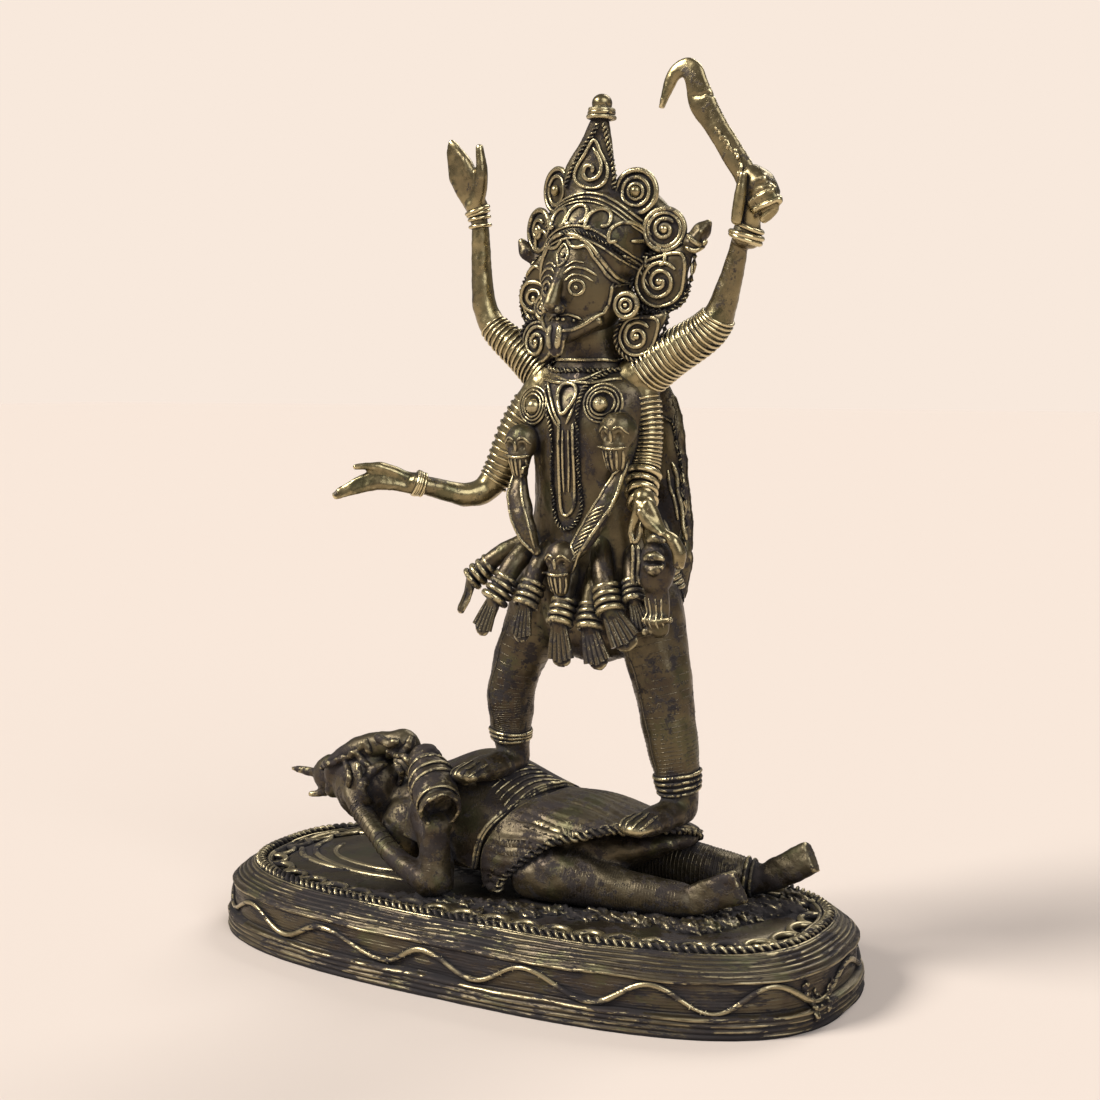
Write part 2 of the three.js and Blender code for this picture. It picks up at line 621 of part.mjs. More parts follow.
// The skirt of severed arms: where each hangs from, where its bangles are and where its hand ends
const skirtArms = [
  { hip: [-8.6, -2.4, 38.6], wrist: [-14, -8.6, 35], hand: [-16.4, -11.2, 29.2], palm: 1.2 },
  { hip: [-6.4, -4, 38.4], wrist: [-10, -9.6, 33], hand: [-12, -10.8, 26.2], palm: 1.9 },
  { hip: [-3.6, -4.4, 38], wrist: [-5.4, -9.8, 30.6], hand: [-6.8, -10.2, 25.6], palm: 1.9 },
  { hip: [-0.3, -4.6, 36], wrist: [0, -9.8, 29], hand: [0.3, -10, 22.4], palm: 1.9 },
  { hip: [3, -4.6, 36], wrist: [4, -9, 29], hand: [5.4, -9.2, 22.2], palm: 1.9 },
  { hip: [4.6, -4.4, 38], wrist: [7.4, -9.2, 31.2], hand: [9.6, -9.4, 25.6], palm: 2 },
  { hip: [7.6, -3, 38], wrist: [10.4, -8, 32], hand: [12.2, -8.6, 27], palm: 1.4 },
  { hip: [8.6, 1, 38], wrist: [11, 2.4, 32], hand: [11.4, 3, 27], palm: 1.6 },
  { hip: [-8.6, 1, 38], wrist: [-12, 2, 32], hand: [-12.8, 2.4, 27], palm: 1.6 },
];

function skirt() {
  return skirtArms.map(({ hip, wrist, hand, palm }) => limb(
    poseOf([[...hip, 1.4], [...wrist, 1.4], [...hand, palm, 0.5]]),
    { sides: 5, bands: [{ from: 0.36, to: 0.62, count: 1, rise: 0.42 }] },
  ));
}

function legs() {
  const ankleHeight = figureShare(5);
  const leg = (hip, knee, bed, [thigh, kneeHalf, calf, ankleHalf]) => {
    const sole = bed.clone().setZ(bed.z - footSink);
    const ankle = sole.clone().add(new THREE.Vector3(figureShare(0.4), figureShare(1.6), ankleHeight));
    const toes = sole.clone().add(new THREE.Vector3(figureShare(-1.4), figureShare(-8.6), figureShare(0.9)));
    const heel = sole.clone().add(new THREE.Vector3(figureShare(0.6), figureShare(2.4), figureShare(1.4)));
    const kneePlace = stand(...knee);
    return [
      limb([
        [stand(...hip), figureShare(thigh)], [kneePlace, figureShare(kneeHalf)],
        [ankle.clone().lerp(kneePlace, 0.4), figureShare(calf)], [ankle, figureShare(ankleHalf)],
        [heel, figureShare(ankleHalf * 0.8)],
      ], { sides: 8, bands: [{ from: 0.62, to: 0.8, count: 1, rise: 0.16 }] }),
      limb([
        [heel, figureShare(2.4), 0.8], [heel.clone().lerp(toes, 0.55), figureShare(2.7), 0.72],
        [toes, figureShare(2.6), 0.45],
      ], { sides: 7, flatAxis: high }),
    ];
  };
  return [
    ...leg([-8.4, 0, 30], [-13.2, -0.8, 17], chestBed, [4.6, 3.6, 3.2, 2.8]),
    ...leg([8, 0, 30], [11.2, -0.4, 17.6], lapBed, [5.4, 4.1, 3.7, 2.9]),
  ];
}

function goddess() {
  return fuse([
    ...torsoAndCape(), ...bosses(), ...raisedEmptyArm(), ...givingArm(), ...swordArm(), ...trophyArm(),
    ...sword(), ...face(), ...crown(), ...garland(), ...skirt(), ...legs(),
  ]);
}

// A casting is cut by the one below it, with the fit gap between them
function seatedOn(piece, below) {
  const lifted = solidOf(geometryOf(below).translate(0, 0, fitGap));
  return piece.subtract(below).subtract(lifted);
}

// What hangs below a level is cut away
function levelCut(piece, level) {
  const reach = baseLength * 2;
  const block = new THREE.BoxGeometry(reach, reach, reach);
  block.translate(0, 0, level - reach / 2);
  return piece.subtract(solidOf(block));
}

// The casting itself, without the crumbs that a cut can leave
function mainBody(solid) {
  return solid.decompose().reduce((largest, body) => (body.volume() > largest.volume() ? body : largest));
}

function castPiece(name, solid, material) {
  const mesh = new THREE.Mesh(geometryOf(solid), material);
  mesh.name = name;
  return mesh;
}

const baseSolid = ovalBase();
const lyingSolid = mainBody(seatedOn(levelCut(lyingMan(), baseHeight + fitGap), baseSolid));
const standingSolid = mainBody(seatedOn(goddess(), lyingSolid));

const group = new THREE.Group();
group.add(castPiece("oval_base", baseSolid, brass(0x6b5f45, 0.5)));
group.add(castPiece("lying_man", lyingSolid, brass(0x6f6142, 0.45)));
group.add(castPiece("standing_goddess", standingSolid, brass(0x9a8650, 0.36)));

export default group;
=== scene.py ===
import math
import bpy
import numpy as np
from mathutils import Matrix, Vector
from mathutils.bvhtree import BVHTree


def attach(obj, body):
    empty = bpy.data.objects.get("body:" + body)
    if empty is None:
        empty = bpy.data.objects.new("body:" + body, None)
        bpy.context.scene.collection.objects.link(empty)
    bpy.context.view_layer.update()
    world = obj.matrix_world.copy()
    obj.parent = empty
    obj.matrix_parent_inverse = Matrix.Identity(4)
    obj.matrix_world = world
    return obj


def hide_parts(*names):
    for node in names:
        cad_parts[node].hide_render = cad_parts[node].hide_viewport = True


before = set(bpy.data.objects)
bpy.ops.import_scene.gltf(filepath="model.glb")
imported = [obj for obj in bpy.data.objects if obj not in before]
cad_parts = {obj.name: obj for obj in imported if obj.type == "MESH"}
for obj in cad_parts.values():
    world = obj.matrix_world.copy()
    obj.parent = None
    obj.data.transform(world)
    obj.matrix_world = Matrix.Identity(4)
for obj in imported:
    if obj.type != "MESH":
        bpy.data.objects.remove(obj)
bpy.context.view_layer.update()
mm = 0.001
rng = np.random.default_rng(7)


# Places, in metres, in the frame's own axes

base = {
    "length": 220, "width": 109, "height": 22, "wall": 3.2, "foot": 6.6, "band": 10.4, "recess": 2.4,
    "edgeWire": 1.7, "bevel": 6.2, "ropeWidth": 4.4, "ovalPower": 2.8,
}
figureHeight = 220
lyingLength = 180
lyingOffset = np.array([5, 2, base["height"]])


def lie(x, y, z):  # hundredths of the lying man's length, from his hips on the base
    return (np.array([x, y, z]) * lyingLength / 100 + lyingOffset) * mm


chestBed = lie(-6.8, -3.4, 21.4)
lapBed = lie(26.2, -2.6, 16.2)
standingFoot = np.array([24 * mm, 0, lapBed[2]])


def stand(x, y, z):  # hundredths of the goddess's height, from her middle line
    return np.array([x, y, z]) * figureHeight / 100 * mm + standingFoot


headPose = {"turn": -4, "aside": 0.4, "forward": 0}
facePose = {"turn": -9, "aside": -0.3, "forward": 0.45}
neckTop, headLean = 67, 0.06


def onTurned(x, y, z, turn, aside, forward):  # the same on a form that leans, and is turned and set aside
    cos, sin = math.cos(math.radians(turn)), math.sin(math.radians(turn))
    lean = aside + (z - neckTop) * headLean
    return stand(lean + x * cos - y * sin, x * sin + y * cos - forward, z)


def onHead(x, y, z):
    return onTurned(x, y, z, **headPose)


def onVisage(x, y, z):
    return onTurned(x, y, z, **facePose)


def lyingSize(share):
    return share * lyingLength / 100 * mm


def standingSize(share):
    return share * figureHeight / 100 * mm


# Camera at the photographed angle

view = {
    "azimuth": 29.85, "elevation": 5.8, "distance": 0.5441, "lens": 55.64, "aside": 0.00668, "height": 0.131,
    "middle": 550, "focal": 1700,  # in pixels of the picture
}


def cameraAxes():
    around, above = math.radians(view["azimuth"]), math.radians(view["elevation"])
    right = np.array([math.cos(around), math.sin(around), 0])
    flat = math.cos(above)
    back = np.array([math.sin(around) * flat, -math.cos(around) * flat, math.sin(above)])
    place = np.array([0, 0, view["height"]]) + right * view["aside"] + back * view["distance"]
    return place, right, np.cross(back, right), back


def placeCamera():
    place = cameraAxes()[0]
    camera = bpy.data.objects.new("camera", bpy.data.cameras.new("camera"))
    camera.data.lens = view["lens"]
    camera.data.sensor_width = 36
    camera.data.clip_start = 0.01
    camera.location = place
    camera.rotation_euler = (math.radians(90 - view["elevation"]), 0, math.radians(view["azimuth"]))
    bpy.context.scene.collection.objects.link(camera)
    bpy.context.scene.camera = camera


placeCamera()
print("camera placed")


# Wax shapes: lofted limbs and eggs that are fused into one smooth body

def smoothPath(points, steps, closed=False):
    points = np.asarray(points, float)
    if closed:
        points = np.vstack([points[-1], points, points[0], points[1]])
    else:
        points = np.vstack([2 * points[0] - points[1], points, 2 * points[-1] - points[-2]])
    out = []
    for one, two, three, four in zip(points, points[1:], points[2:], points[3:]):
        for t in np.arange(steps) / steps:
            out.append(0.5 * (2 * two + (three - one) * t + (2 * one - 5 * two + 4 * three - four) * t * t
                              + (3 * two - one - 3 * three + four) * t ** 3))
    if not closed:
        out.append(points[-2])
    return np.array(out)


def tangents(path):
    ways = np.gradient(path, axis=0)
    return ways / np.maximum(np.linalg.norm(ways, axis=1, keepdims=True), 1e-12)


def frames(path):  # tangent, across and up at each point, without twist
    ways = tangents(path)
    across = np.array((0, 0, 1) if abs(ways[0][0]) > 0.8 else (1, 0, 0), float)
    acrosses, ups = [], []
    for way in ways:
        across = across - way * across.dot(way)
        across = across / max(np.linalg.norm(across), 1e-9)
        acrosses.append(across)
        ups.append(np.cross(way, across))
    return ways, np.array(acrosses), np.array(ups)


def loftRings(rings):  # a closed skin over rings of points, with a fan at each end
    rings = np.asarray(rings)
    count, sides = rings.shape[:2]
    points = rings.reshape(-1, 3)
    faces = []
    for low in range(0, (count - 1) * sides, sides):
        high = low + sides
        faces += [(low + s, low + (s + 1) % sides, high + (s + 1) % sides, high + s) for s in range(sides)]
    first, last = len(points), len(points) + 1
    points = np.vstack([points, rings[0].mean(0), rings[-1].mean(0)])
    end = (count - 1) * sides
    faces += [(first, (s + 1) % sides, s) for s in range(sides)]
    faces += [(last, end + s, end + (s + 1) % sides) for s in range(sides)]
    return points, faces


class Limb:  # an oval limb along a smooth path: stations are [x, y, z, half width, flatness]
    def __init__(self, pose, size, stations, flatAxis=(0, 1, 0), steps=6):
        self.spine = smoothPath([pose(*station[:3]) for station in stations], steps)
        self.sizes = smoothPath([(size(s[3]), s[4] if len(s) > 4 else 1, 0) for s in stations], steps)
        self.ways, self.across, self.up = frames(self.spine)
        self.flatAxis = np.array(flatAxis, float)

    def at(self, share):
        spot = min(max(share, 0), 1) * (len(self.spine) - 1)
        low = min(int(spot), len(self.spine) - 2)
        part = spot - low
        return [rows[low] * (1 - part) + rows[low + 1] * part
                for rows in (self.spine, self.ways, self.across, self.up, self.sizes)]

    def ring(self, share, sides, widen=1.0, lift=0.0, push=0.0, slant=0.0):
        place, way, across, up, (width, flatness, _) = self.at(share)
        angles = np.arange(sides) / sides * 2 * math.pi
        wide = width * widen + lift * mm
        out = np.outer(np.cos(angles), across) * wide + np.outer(np.sin(angles), up) * wide
        out += np.outer(out @ self.flatAxis * (flatness - 1), self.flatAxis)
        return out + place + way * push + np.outer(np.cos(angles) * slant * mm, way)

    def skin(self, share, angle, lift):  # a place on the limb's skin
        place, _, across, up, (width, flatness, _) = self.at(share)
        out = (across * math.cos(angle) + up * math.sin(angle)) * (width + lift * mm)
        return place + (out + self.flatAxis * out.dot(self.flatAxis) * (flatness - 1))

    def wound(self, start, end, turns, lift=0.0):  # a wire wound round the limb
        return np.array([self.skin(start + (end - start) * share, share * turns * 2 * math.pi, lift)
                         for share in np.linspace(0, 1, max(8, int(turns * 20)))])

    def line(self, start, end, angle, lift=0.0, count=16):  # a line along the limb's skin
        return np.array([self.skin(start + (end - start) * share, math.radians(angle), lift)
                         for share in np.linspace(0, 1, count)])

    def shape(self, sides=18):  # closed, with rounded ends
        last = len(self.spine) - 1
        caps = []
        for share, way in ((0, -1), (1, 1)):
            reach = way * self.at(share)[4][0] * 0.7
            caps.append([self.ring(share, sides, math.cos(turn), push=reach * math.sin(turn))
                         for turn in np.radians((25, 50, 75))])
        return loftRings(caps[0][::-1] + [self.ring(n / last, sides) for n in range(last + 1)] + caps[1])


def dish(place, across, up, out, halfWide, halfHigh, halfThick, sides=24):  # a round flat lens
    rings = []
    for turn in range(-75, 76, 25):
        wide, deep = math.cos(math.radians(turn)), math.sin(math.radians(turn)) * halfThick
        rings.append([place + across * halfWide * wide * math.cos(a) + up * halfHigh * wide * math.sin(a)
                      - out * deep for a in np.arange(sides) / sides * 2 * math.pi])
    return loftRings(rings)


def egg(place, halfX, halfY, halfZ, sides=20):
    rows = sides // 2
    around = np.arange(sides) / sides * 2 * math.pi
    rings = []
    for row in range(1, rows):
        down = row / rows * math.pi
        rings.append(np.array([(halfX * math.cos(a) * math.sin(down), halfY * math.sin(a) * math.sin(down),
                                -halfZ * math.cos(down)) for a in around]) + place)
    points, faces = loftRings(rings)
    points[-2], points[-1] = place - np.array([0, 0, halfZ]), place + np.array([0, 0, halfZ])
    return points, faces


def joined(shapes):
    points, faces, start = [], [], 0
    for shapePoints, shapeFaces in shapes:
        points.append(shapePoints)
        faces += [tuple(corner + start for corner in face) for face in shapeFaces]
        start += len(shapePoints)
    return np.vstack(points), faces


def wobble(places, size, seed):  # a smooth uneven field between about -1 and 1
    draw = np.random.default_rng(seed)
    total = np.zeros(len(places))
    for _ in range(9):
        way = draw.normal(size=3)
        way *= draw.uniform(0.6, 1.6) / np.linalg.norm(way) * 2 * math.pi / size
        total += np.sin(places @ way + draw.uniform(0, 6.3))
    return total / 3.6


def meshObject(name, points, faces):
    mesh = bpy.data.meshes.new(name)
    mesh.from_pydata([tuple(p) for p in points], [], faces)
    mesh.update()
    mesh.polygons.foreach_set("use_smooth", [True] * len(mesh.polygons))
    obj = bpy.data.objects.new(name, mesh)
    bpy.context.scene.collection.objects.link(obj)
    return obj


def plainResult(obj, name):  # what the modifiers make, as a plain mesh object
    depsgraph = bpy.context.evaluated_depsgraph_get()
    mesh = bpy.data.meshes.new_from_object(obj.evaluated_get(depsgraph))
    mesh.name = name
    old = obj.data
    obj.modifiers.clear()
    bpy.data.objects.remove(obj)
    if old.users == 0:
        bpy.data.meshes.remove(old)
    made = bpy.data.objects.new(name, mesh)
    bpy.context.scene.collection.objects.link(made)
    return made


def meshArrays(obj):
    points = np.empty(len(obj.data.vertices) * 3)
    normals = np.empty(len(obj.data.vertices) * 3)
    obj.data.vertices.foreach_get("co", points)
    obj.data.vertices.foreach_get("normal", normals)
    return points.reshape(-1, 3), normals.reshape(-1, 3)


def fuseWax(name, shapes, voxel, relax=3, dents=0.25, dentSize=9, seed=3):
    obj = meshObject(name + "Raw", *joined(shapes))
    remesh = obj.modifiers.new("fuse", "REMESH")
    remesh.mode = "VOXEL"
    remesh.voxel_size = voxel * mm
    remesh.use_smooth_shade = True
    if relax:
        melt = obj.modifiers.new("melt", "SMOOTH")
        melt.factor = 0.5
        melt.iterations = relax
    made = plainResult(obj, name)
    points, normals = meshArrays(made)
    lift = wobble(points, dentSize * mm, seed) * dents * mm
    lift += wobble(points, dentSize * mm / 3, seed + 1) * dents * 0.3 * mm
    made.data.vertices.foreach_set("co", (points + normals * lift[:, None]).ravel())
    made.data.update()
    return made


def dented(obj, places, radius, depth):  # the skin pushed in round each place
    points, normals = meshArrays(obj)
    push = np.zeros(len(points))
    for place in places:
        near = np.linalg.norm(points - place, axis=1) / (radius * mm)
        push = np.maximum(push, np.clip(1 - near ** 2, 0, 1) ** 1.5)
    obj.data.vertices.foreach_set("co", (points - normals * push[:, None] * depth * mm).ravel())
    obj.data.update()
    return obj


def inMetal(size):  # a size in millimetres
    return size * mm


def pixelLimb(stations, depth):  # a limb through places of the picture on an upright plane: u, v, half width
    path = traced(None, [s[:2] for s in stations], steps=1, depth=depth)
    return Limb(placed, inMetal, [[*p, *s[2:]] for p, s in zip(path, stations)])


def surfaceOf(obj):
    points = [v.co for v in obj.data.vertices]
    return BVHTree.FromPolygons(points, [tuple(p.vertices) for p in obj.data.polygons])


def traced(surface, pixels, lift=0.0, steps=5, depth=-6, closed=False):
    # a path seen through the camera, laid on a surface, or on an upright plane where it misses the surface
    eye, right, up, back = cameraAxes()
    path = []
    for u, v in smoothPath([(*pixel, 0) for pixel in pixels], steps, closed)[:, :2]:
        look = -back + right * (u - view["middle"]) / view["focal"] + up * (view["middle"]
                                                                            - v) / view["focal"]
        look /= np.linalg.norm(look)
        hit, normal = surface.ray_cast(Vector(eye), Vector(look))[:2] if surface else (None, None)
        if hit is None:
            path.append(eye + look * ((depth * mm - eye[1]) / look[1]))
        else:
            path.append(np.array(hit) + np.array(normal) * lift * mm)
    return np.array(path)


def placed(x, y, z):
    return np.array([x, y, z])


# Threads, ropes and beads of wax: paths with a thickness at each point, which Geometry Nodes turn into wire

class WaxPaths:
    def __init__(self):
        self.points, self.edges, self.thick, self.twist = [], [], [], []

    def add(self, path, thick, closed=False, taper=True, pitch=3.2):
        path = np.asarray(path, float)
        count = len(path)
        thick = np.broadcast_to(np.asarray(thick, float) * mm, (count,)).copy()
        steps = np.linalg.norm(np.diff(path, axis=0), axis=1)
        lengths = np.concatenate([[0], np.cumsum(steps)])
        if taper and not closed:
            thick[[0, -1]] *= 0.45
            if count > 4:
                thick[[1, -2]] *= 0.85
        whole = lengths[-1] + (np.linalg.norm(path[0] - path[-1]) if closed else 0)
        turns = whole / (pitch * thick.max()) if thick.max() else 0
        turns = max(1, round(turns)) if closed else turns
        start = len(self.points)
        self.points += [tuple(p) for p in path]
        self.edges += [(start + n, start + n + 1) for n in range(count - 1)]
        if closed:
            self.edges.append((start + count - 1, start))
        self.thick += list(thick)
        self.twist += list(lengths / whole * turns * 2 * math.pi)
        return self

    def bead(self, place, thick):
        self.points.append(tuple(place))
        self.thick.append(thick * mm)
        self.twist.append(0)


class TreeMaker:  # adds nodes to a tree, from a type, its settings and the values or links of its sockets
    def __init__(self, tree):
        self.tree = tree

    def node(self, kind, settings=None, **sockets):
        made = self.tree.nodes.new(kind)
        for key, value in (settings or {}).items():
            setattr(made, key, value)
        for key, value in sockets.items():
            socket = made.inputs[int(key[1:])] if key[0] == "s" and key[1:].isdigit() else made.inputs[key]
            if isinstance(value, bpy.types.NodeSocket):
                self.tree.links.new(value, socket)
            elif value is not None:
                socket.default_value = value
        return made


def waxTree(name, inputs):
    tree = bpy.data.node_groups.new(name, "GeometryNodeTree")
    tree.interface.new_socket(name="Paths", in_out="INPUT", socket_type="NodeSocketGeometry")
    for label, kind in inputs:
        tree.interface.new_socket(name=label, in_out="INPUT", socket_type=kind)
    tree.interface.new_socket(name="Wax", in_out="OUTPUT", socket_type="NodeSocketGeometry")
    maker = TreeMaker(tree)
    entry = maker.node("NodeGroupInput").outputs
    return tree, maker, entry


def finishTree(maker, geometry, metal):
    smooth = maker.node("GeometryNodeSetShadeSmooth", s0=geometry)
    real = maker.node("GeometryNodeRealizeInstances", s0=smooth.outputs[0])
    painted = maker.node("GeometryNodeSetMaterial", s0=real.outputs[0], Material=metal)
    maker.node("NodeGroupOutput", s0=painted.outputs[0])


def threadTree(name, strands):  # a thread of one round strand, or a rope of two twisted ones
    tree, maker, entry = waxTree(name, [("Sides", "NodeSocketInt"), ("Metal", "NodeSocketMaterial")])
    curve = maker.node("GeometryNodeMeshToCurve", s0=entry["Paths"])
    if strands > 1:
        twist = maker.node("GeometryNodeInputNamedAttribute", s0="twist")
        curve = maker.node("GeometryNodeSetCurveTilt", s0=curve.outputs[0], Tilt=twist.outputs[0])
    radius, apart = {1: (1, 0), 2: (0.56, 0.5)}[strands]
    circle = maker.node("GeometryNodeCurvePrimitiveCircle", Resolution=entry["Sides"], Radius=radius)
    profile = maker.node("GeometryNodeJoinGeometry")
    for number in range(strands):
        angle = number / strands * 2 * math.pi
        side = (math.cos(angle) * apart, math.sin(angle) * apart, 0)
        moved = maker.node("GeometryNodeTransform", s0=circle.outputs[0], Translation=side)
        tree.links.new(moved.outputs[0], profile.inputs[0])
    thick = maker.node("GeometryNodeInputNamedAttribute", s0="thick")
    wire = maker.node("GeometryNodeCurveToMesh", s0=curve.outputs[0], s1=profile.outputs[0],
                      Scale=thick.outputs[0])
    wire.inputs["Fill Caps"].default_value = True
    finishTree(maker, wire.outputs[0], entry["Metal"])
    return tree


def beadTree(name):
    tree, maker, entry = waxTree(name, [("Segments", "NodeSocketInt"), ("Height", "NodeSocketFloat"),
                                        ("Metal", "NodeSocketMaterial")])
    ball = maker.node("GeometryNodeMeshUVSphere", Segments=entry["Segments"], Rings=5, Radius=1)
    scale = maker.node("ShaderNodeCombineXYZ", X=1, Y=1, Z=entry["Height"])
    shaped = maker.node("GeometryNodeTransform", s0=ball.outputs[0], Scale=scale.outputs[0])
    thick = maker.node("GeometryNodeInputNamedAttribute", s0="thick")
    beads = maker.node("GeometryNodeInstanceOnPoints", Points=entry["Paths"], Instance=shaped.outputs[0],
                       Scale=thick.outputs[0])
    finishTree(maker, beads.outputs[0], entry["Metal"])
    return tree


trees = {
    1: threadTree("wax thread", 1),
    2: threadTree("two strand rope", 2),
    "beads": beadTree("wax beads"),
}


def grow(name, paths, tree, metal, **sizes):  # a piece made from paths by one of the trees
    mesh = bpy.data.meshes.new(name + "Paths")
    mesh.from_pydata(paths.points, paths.edges, [])
    for label, values in (("thick", paths.thick), ("twist", paths.twist)):
        mesh.attributes.new(label, "FLOAT", "POINT").data.foreach_set("value", values)
    obj = bpy.data.objects.new(name + "Paths", mesh)
    bpy.context.scene.collection.objects.link(obj)
    modifier = obj.modifiers.new("wax", "NODES")
    modifier.node_group = trees[tree]
    sizes = {"Metal": metal, **sizes}
    for socket in trees[tree].interface.items_tree:
        if socket.in_out == "INPUT" and socket.name in sizes:
            modifier[socket.identifier] = sizes[socket.name]
    made = plainResult(obj, name)
    for attribute in list(made.data.attributes):
        if attribute.name in ("thick", "twist"):
            made.data.attributes.remove(attribute)
    return made


# Brass: worn bright on raised wires; dark in the hollows and gaps, where ambient occlusion paints shade over
# the metal's own stains, grain and crust

class Value:  # a socket whose arithmetic adds Math nodes
    def __init__(self, maker, socket):
        self.maker, self.socket = maker, socket

    def math(self, operation, *others):
        values = [getattr(other, "socket", other) for other in others]
        made = self.maker.node("ShaderNodeMath", {"operation": operation},
                               **{f"s{n}": value for n, value in enumerate(values)})
        return Value(self.maker, made.outputs[0])

    def __add__(self, other):
        return self.math("ADD", self, other)

    def __sub__(self, other):
        return self.math("SUBTRACT", self, other)

    def __rsub__(self, other):
        return self.math("SUBTRACT", other, self)

    def __mul__(self, other):
        return self.math("MULTIPLY", self, other)

    __radd__ = __add__

    def clamp(self):
        made = self.maker.node("ShaderNodeClamp", s0=self.socket)
        return Value(self.maker, made.outputs[0])

    def between(self, low, high):  # 0 at low, 1 at high, smooth
        made = self.maker.node("ShaderNodeMapRange", {"interpolation_type": "SMOOTHSTEP"}, Value=self.socket)
        made.inputs["From Min"].default_value = low
        made.inputs["From Max"].default_value = high
        return Value(self.maker, made.outputs[0])


class BrassMaker(TreeMaker):
    def noise(self, scale, detail=3, roughness=0.55, stretch=(1, 1, 1), offset=0):
        place = self.node("ShaderNodeMapping", Vector=self.place, Scale=stretch, Location=(offset, offset, 0))
        made = self.node("ShaderNodeTexNoise", Vector=place.outputs[0], Scale=scale, Detail=detail,
                         Roughness=roughness)
        return Value(self, made.outputs[0])

    def blend(self, mask, one, other):
        made = self.node("ShaderNodeMix", {"data_type": "RGBA"}, Factor=mask.socket, s6=one, s7=other)
        return made.outputs[2]


def agedBrass(name, look):
    material = bpy.data.materials.new(name)
    material.use_nodes = True
    maker = BrassMaker(material.node_tree)
    shader = material.node_tree.nodes["Principled BSDF"]
    maker.place = maker.node("ShaderNodeTexCoord").outputs["Object"]
    geometry = maker.node("ShaderNodeNewGeometry").outputs
    # ambient occlusion, near and wide: painted shade that darkens the hollows and the gaps between parts
    shade = maker.node("ShaderNodeAmbientOcclusion", {"samples": 6}, Distance=look["hollowReach"] * mm)
    wide = maker.node("ShaderNodeAmbientOcclusion", {"samples": 6}, Distance=look["hollowReach"] * 4 * mm)
    patches = maker.noise(60, 4)
    grain = maker.noise(420, 4, 0.65, look["stretch"])
    fine = maker.noise(1500, 2, 0.6, look["stretch"])
    stain = maker.noise(130, 5, 0.6, offset=0.31)
    height = Value(maker, maker.node("ShaderNodeSeparateXYZ", Vector=maker.place).outputs[2])
    # darker towards the bottom: painted shade on the low parts
    low = 1 - height.between(0.1, 0.15)
    hollow = 1 - Value(maker, shade.outputs["AO"])
    deep = 1 - Value(maker, wide.outputs["AO"])
    edge = Value(maker, geometry["Pointiness"]).between(0.5, 0.56)
    speckle = maker.noise(look["crustSize"], 6, 0.72, look["stretch"], 0.17)
    crust = speckle + (patches - 0.5) * 0.5 + (fine - 0.5) * 0.25
    crust = crust.between(look["crustFrom"], look["crustFrom"] + 0.07)
    # mask of grime and painted shade: the occlusion terms (and the low term) are painted shade, while stains,
    # grain and crust are the metal's own dirt
    grimeAndShade = hollow * look["hollowShade"] + deep * look["deepShade"] + (stain - 0.5) * look["stainDirt"]
    grimeAndShade = grimeAndShade + (grain - 0.5) * 0.6 + crust * look["crustDirt"] + low * look["lowShade"]
    grimeAndShade = grimeAndShade.between(look["grimeShadeFrom"], look["grimeShadeTo"])
    wear = edge * look["edgeWear"] + (patches - 0.5) * 1.1 + (grain - 0.5) * look["grainWear"]
    wear = (wear - grimeAndShade * 0.9 - crust * 0.45).between(look["wearFrom"], look["wearTo"])
    green = maker.noise(75, 4, 0.6, offset=0.73) + (fine - 0.5) * 0.2
    green = green.between(look["greenFrom"], look["greenFrom"] + 0.12)
    color = maker.blend(patches.between(0.35, 0.65), look["brass"], look["brown"])
    color = maker.blend(green * 0.75, color, look["green"])
    color = maker.blend(crust * 0.85, color, look["crust"])
    color = maker.blend(wear, color, look["bright"])
    # the dark colour laid by this mask is partly painted shade and partly real grime
    color = maker.blend(grimeAndShade, color, look["dark"])
    maker.tree.links.new(color, shader.inputs["Base Color"])
    metallic = (1 - grimeAndShade * 0.75 - crust * 0.3).clamp() * look["metal"]
    maker.tree.links.new(metallic.socket, shader.inputs["Metallic"])
    roughness = (look["rough"] + grimeAndShade * 0.3 + crust * 0.22 - wear * 0.12 + (grain - 0.5) * 0.35).clamp()
    maker.tree.links.new(roughness.socket, shader.inputs["Roughness"])
    height = grain * 0.7 + fine * 0.35 + patches * 0.4 + crust * 0.25
    bump = maker.node("ShaderNodeBump", Strength=look["bump"], Distance=0.35 * mm, Height=height.socket)
    maker.tree.links.new(bump.outputs[0], shader.inputs["Normal"])
    return material


# the hollow, deep and low weights set painted shade; the stain and crust weights set real grime
agedLook = {
    "brass": (0.135, 0.108, 0.060, 1), "brown": (0.066, 0.050, 0.036, 1), "green": (0.092, 0.088, 0.045, 1),
    "bright": (0.50, 0.42, 0.24, 1), "dark": (0.013, 0.010, 0.011, 1), "crust": (0.034, 0.026, 0.025, 1),
    "crustSize": 230, "crustFrom": 0.53, "crustDirt": 0.25, "stretch": (1, 1, 1), "hollowReach": 1.7,
    "hollowShade": 1.7, "deepShade": 0.6, "stainDirt": 1.0, "grimeShadeFrom": 0.33, "grimeShadeTo": 0.95, "lowShade": 0,
    "edgeWear": 1.0, "grainWear": 1.3, "wearFrom": 0.3, "wearTo": 1.05, "greenFrom": 0.54, "metal": 0.93,
    "rough": 0.38, "bump": 0.55,
}
baseLook = {
    **agedLook, "brass": (0.115, 0.093, 0.058, 1), "brown": (0.060, 0.046, 0.036, 1),
    "bright": (0.42, 0.35, 0.205, 1), "stainDirt": 1.2, "grimeShadeFrom": 0.3, "grimeShadeTo": 0.85,
    "stretch": (0.22, 0.22, 1.3), "crustFrom": 0.50, "crustDirt": 0.45, "wearFrom": 0.36, "rough": 0.43,
}
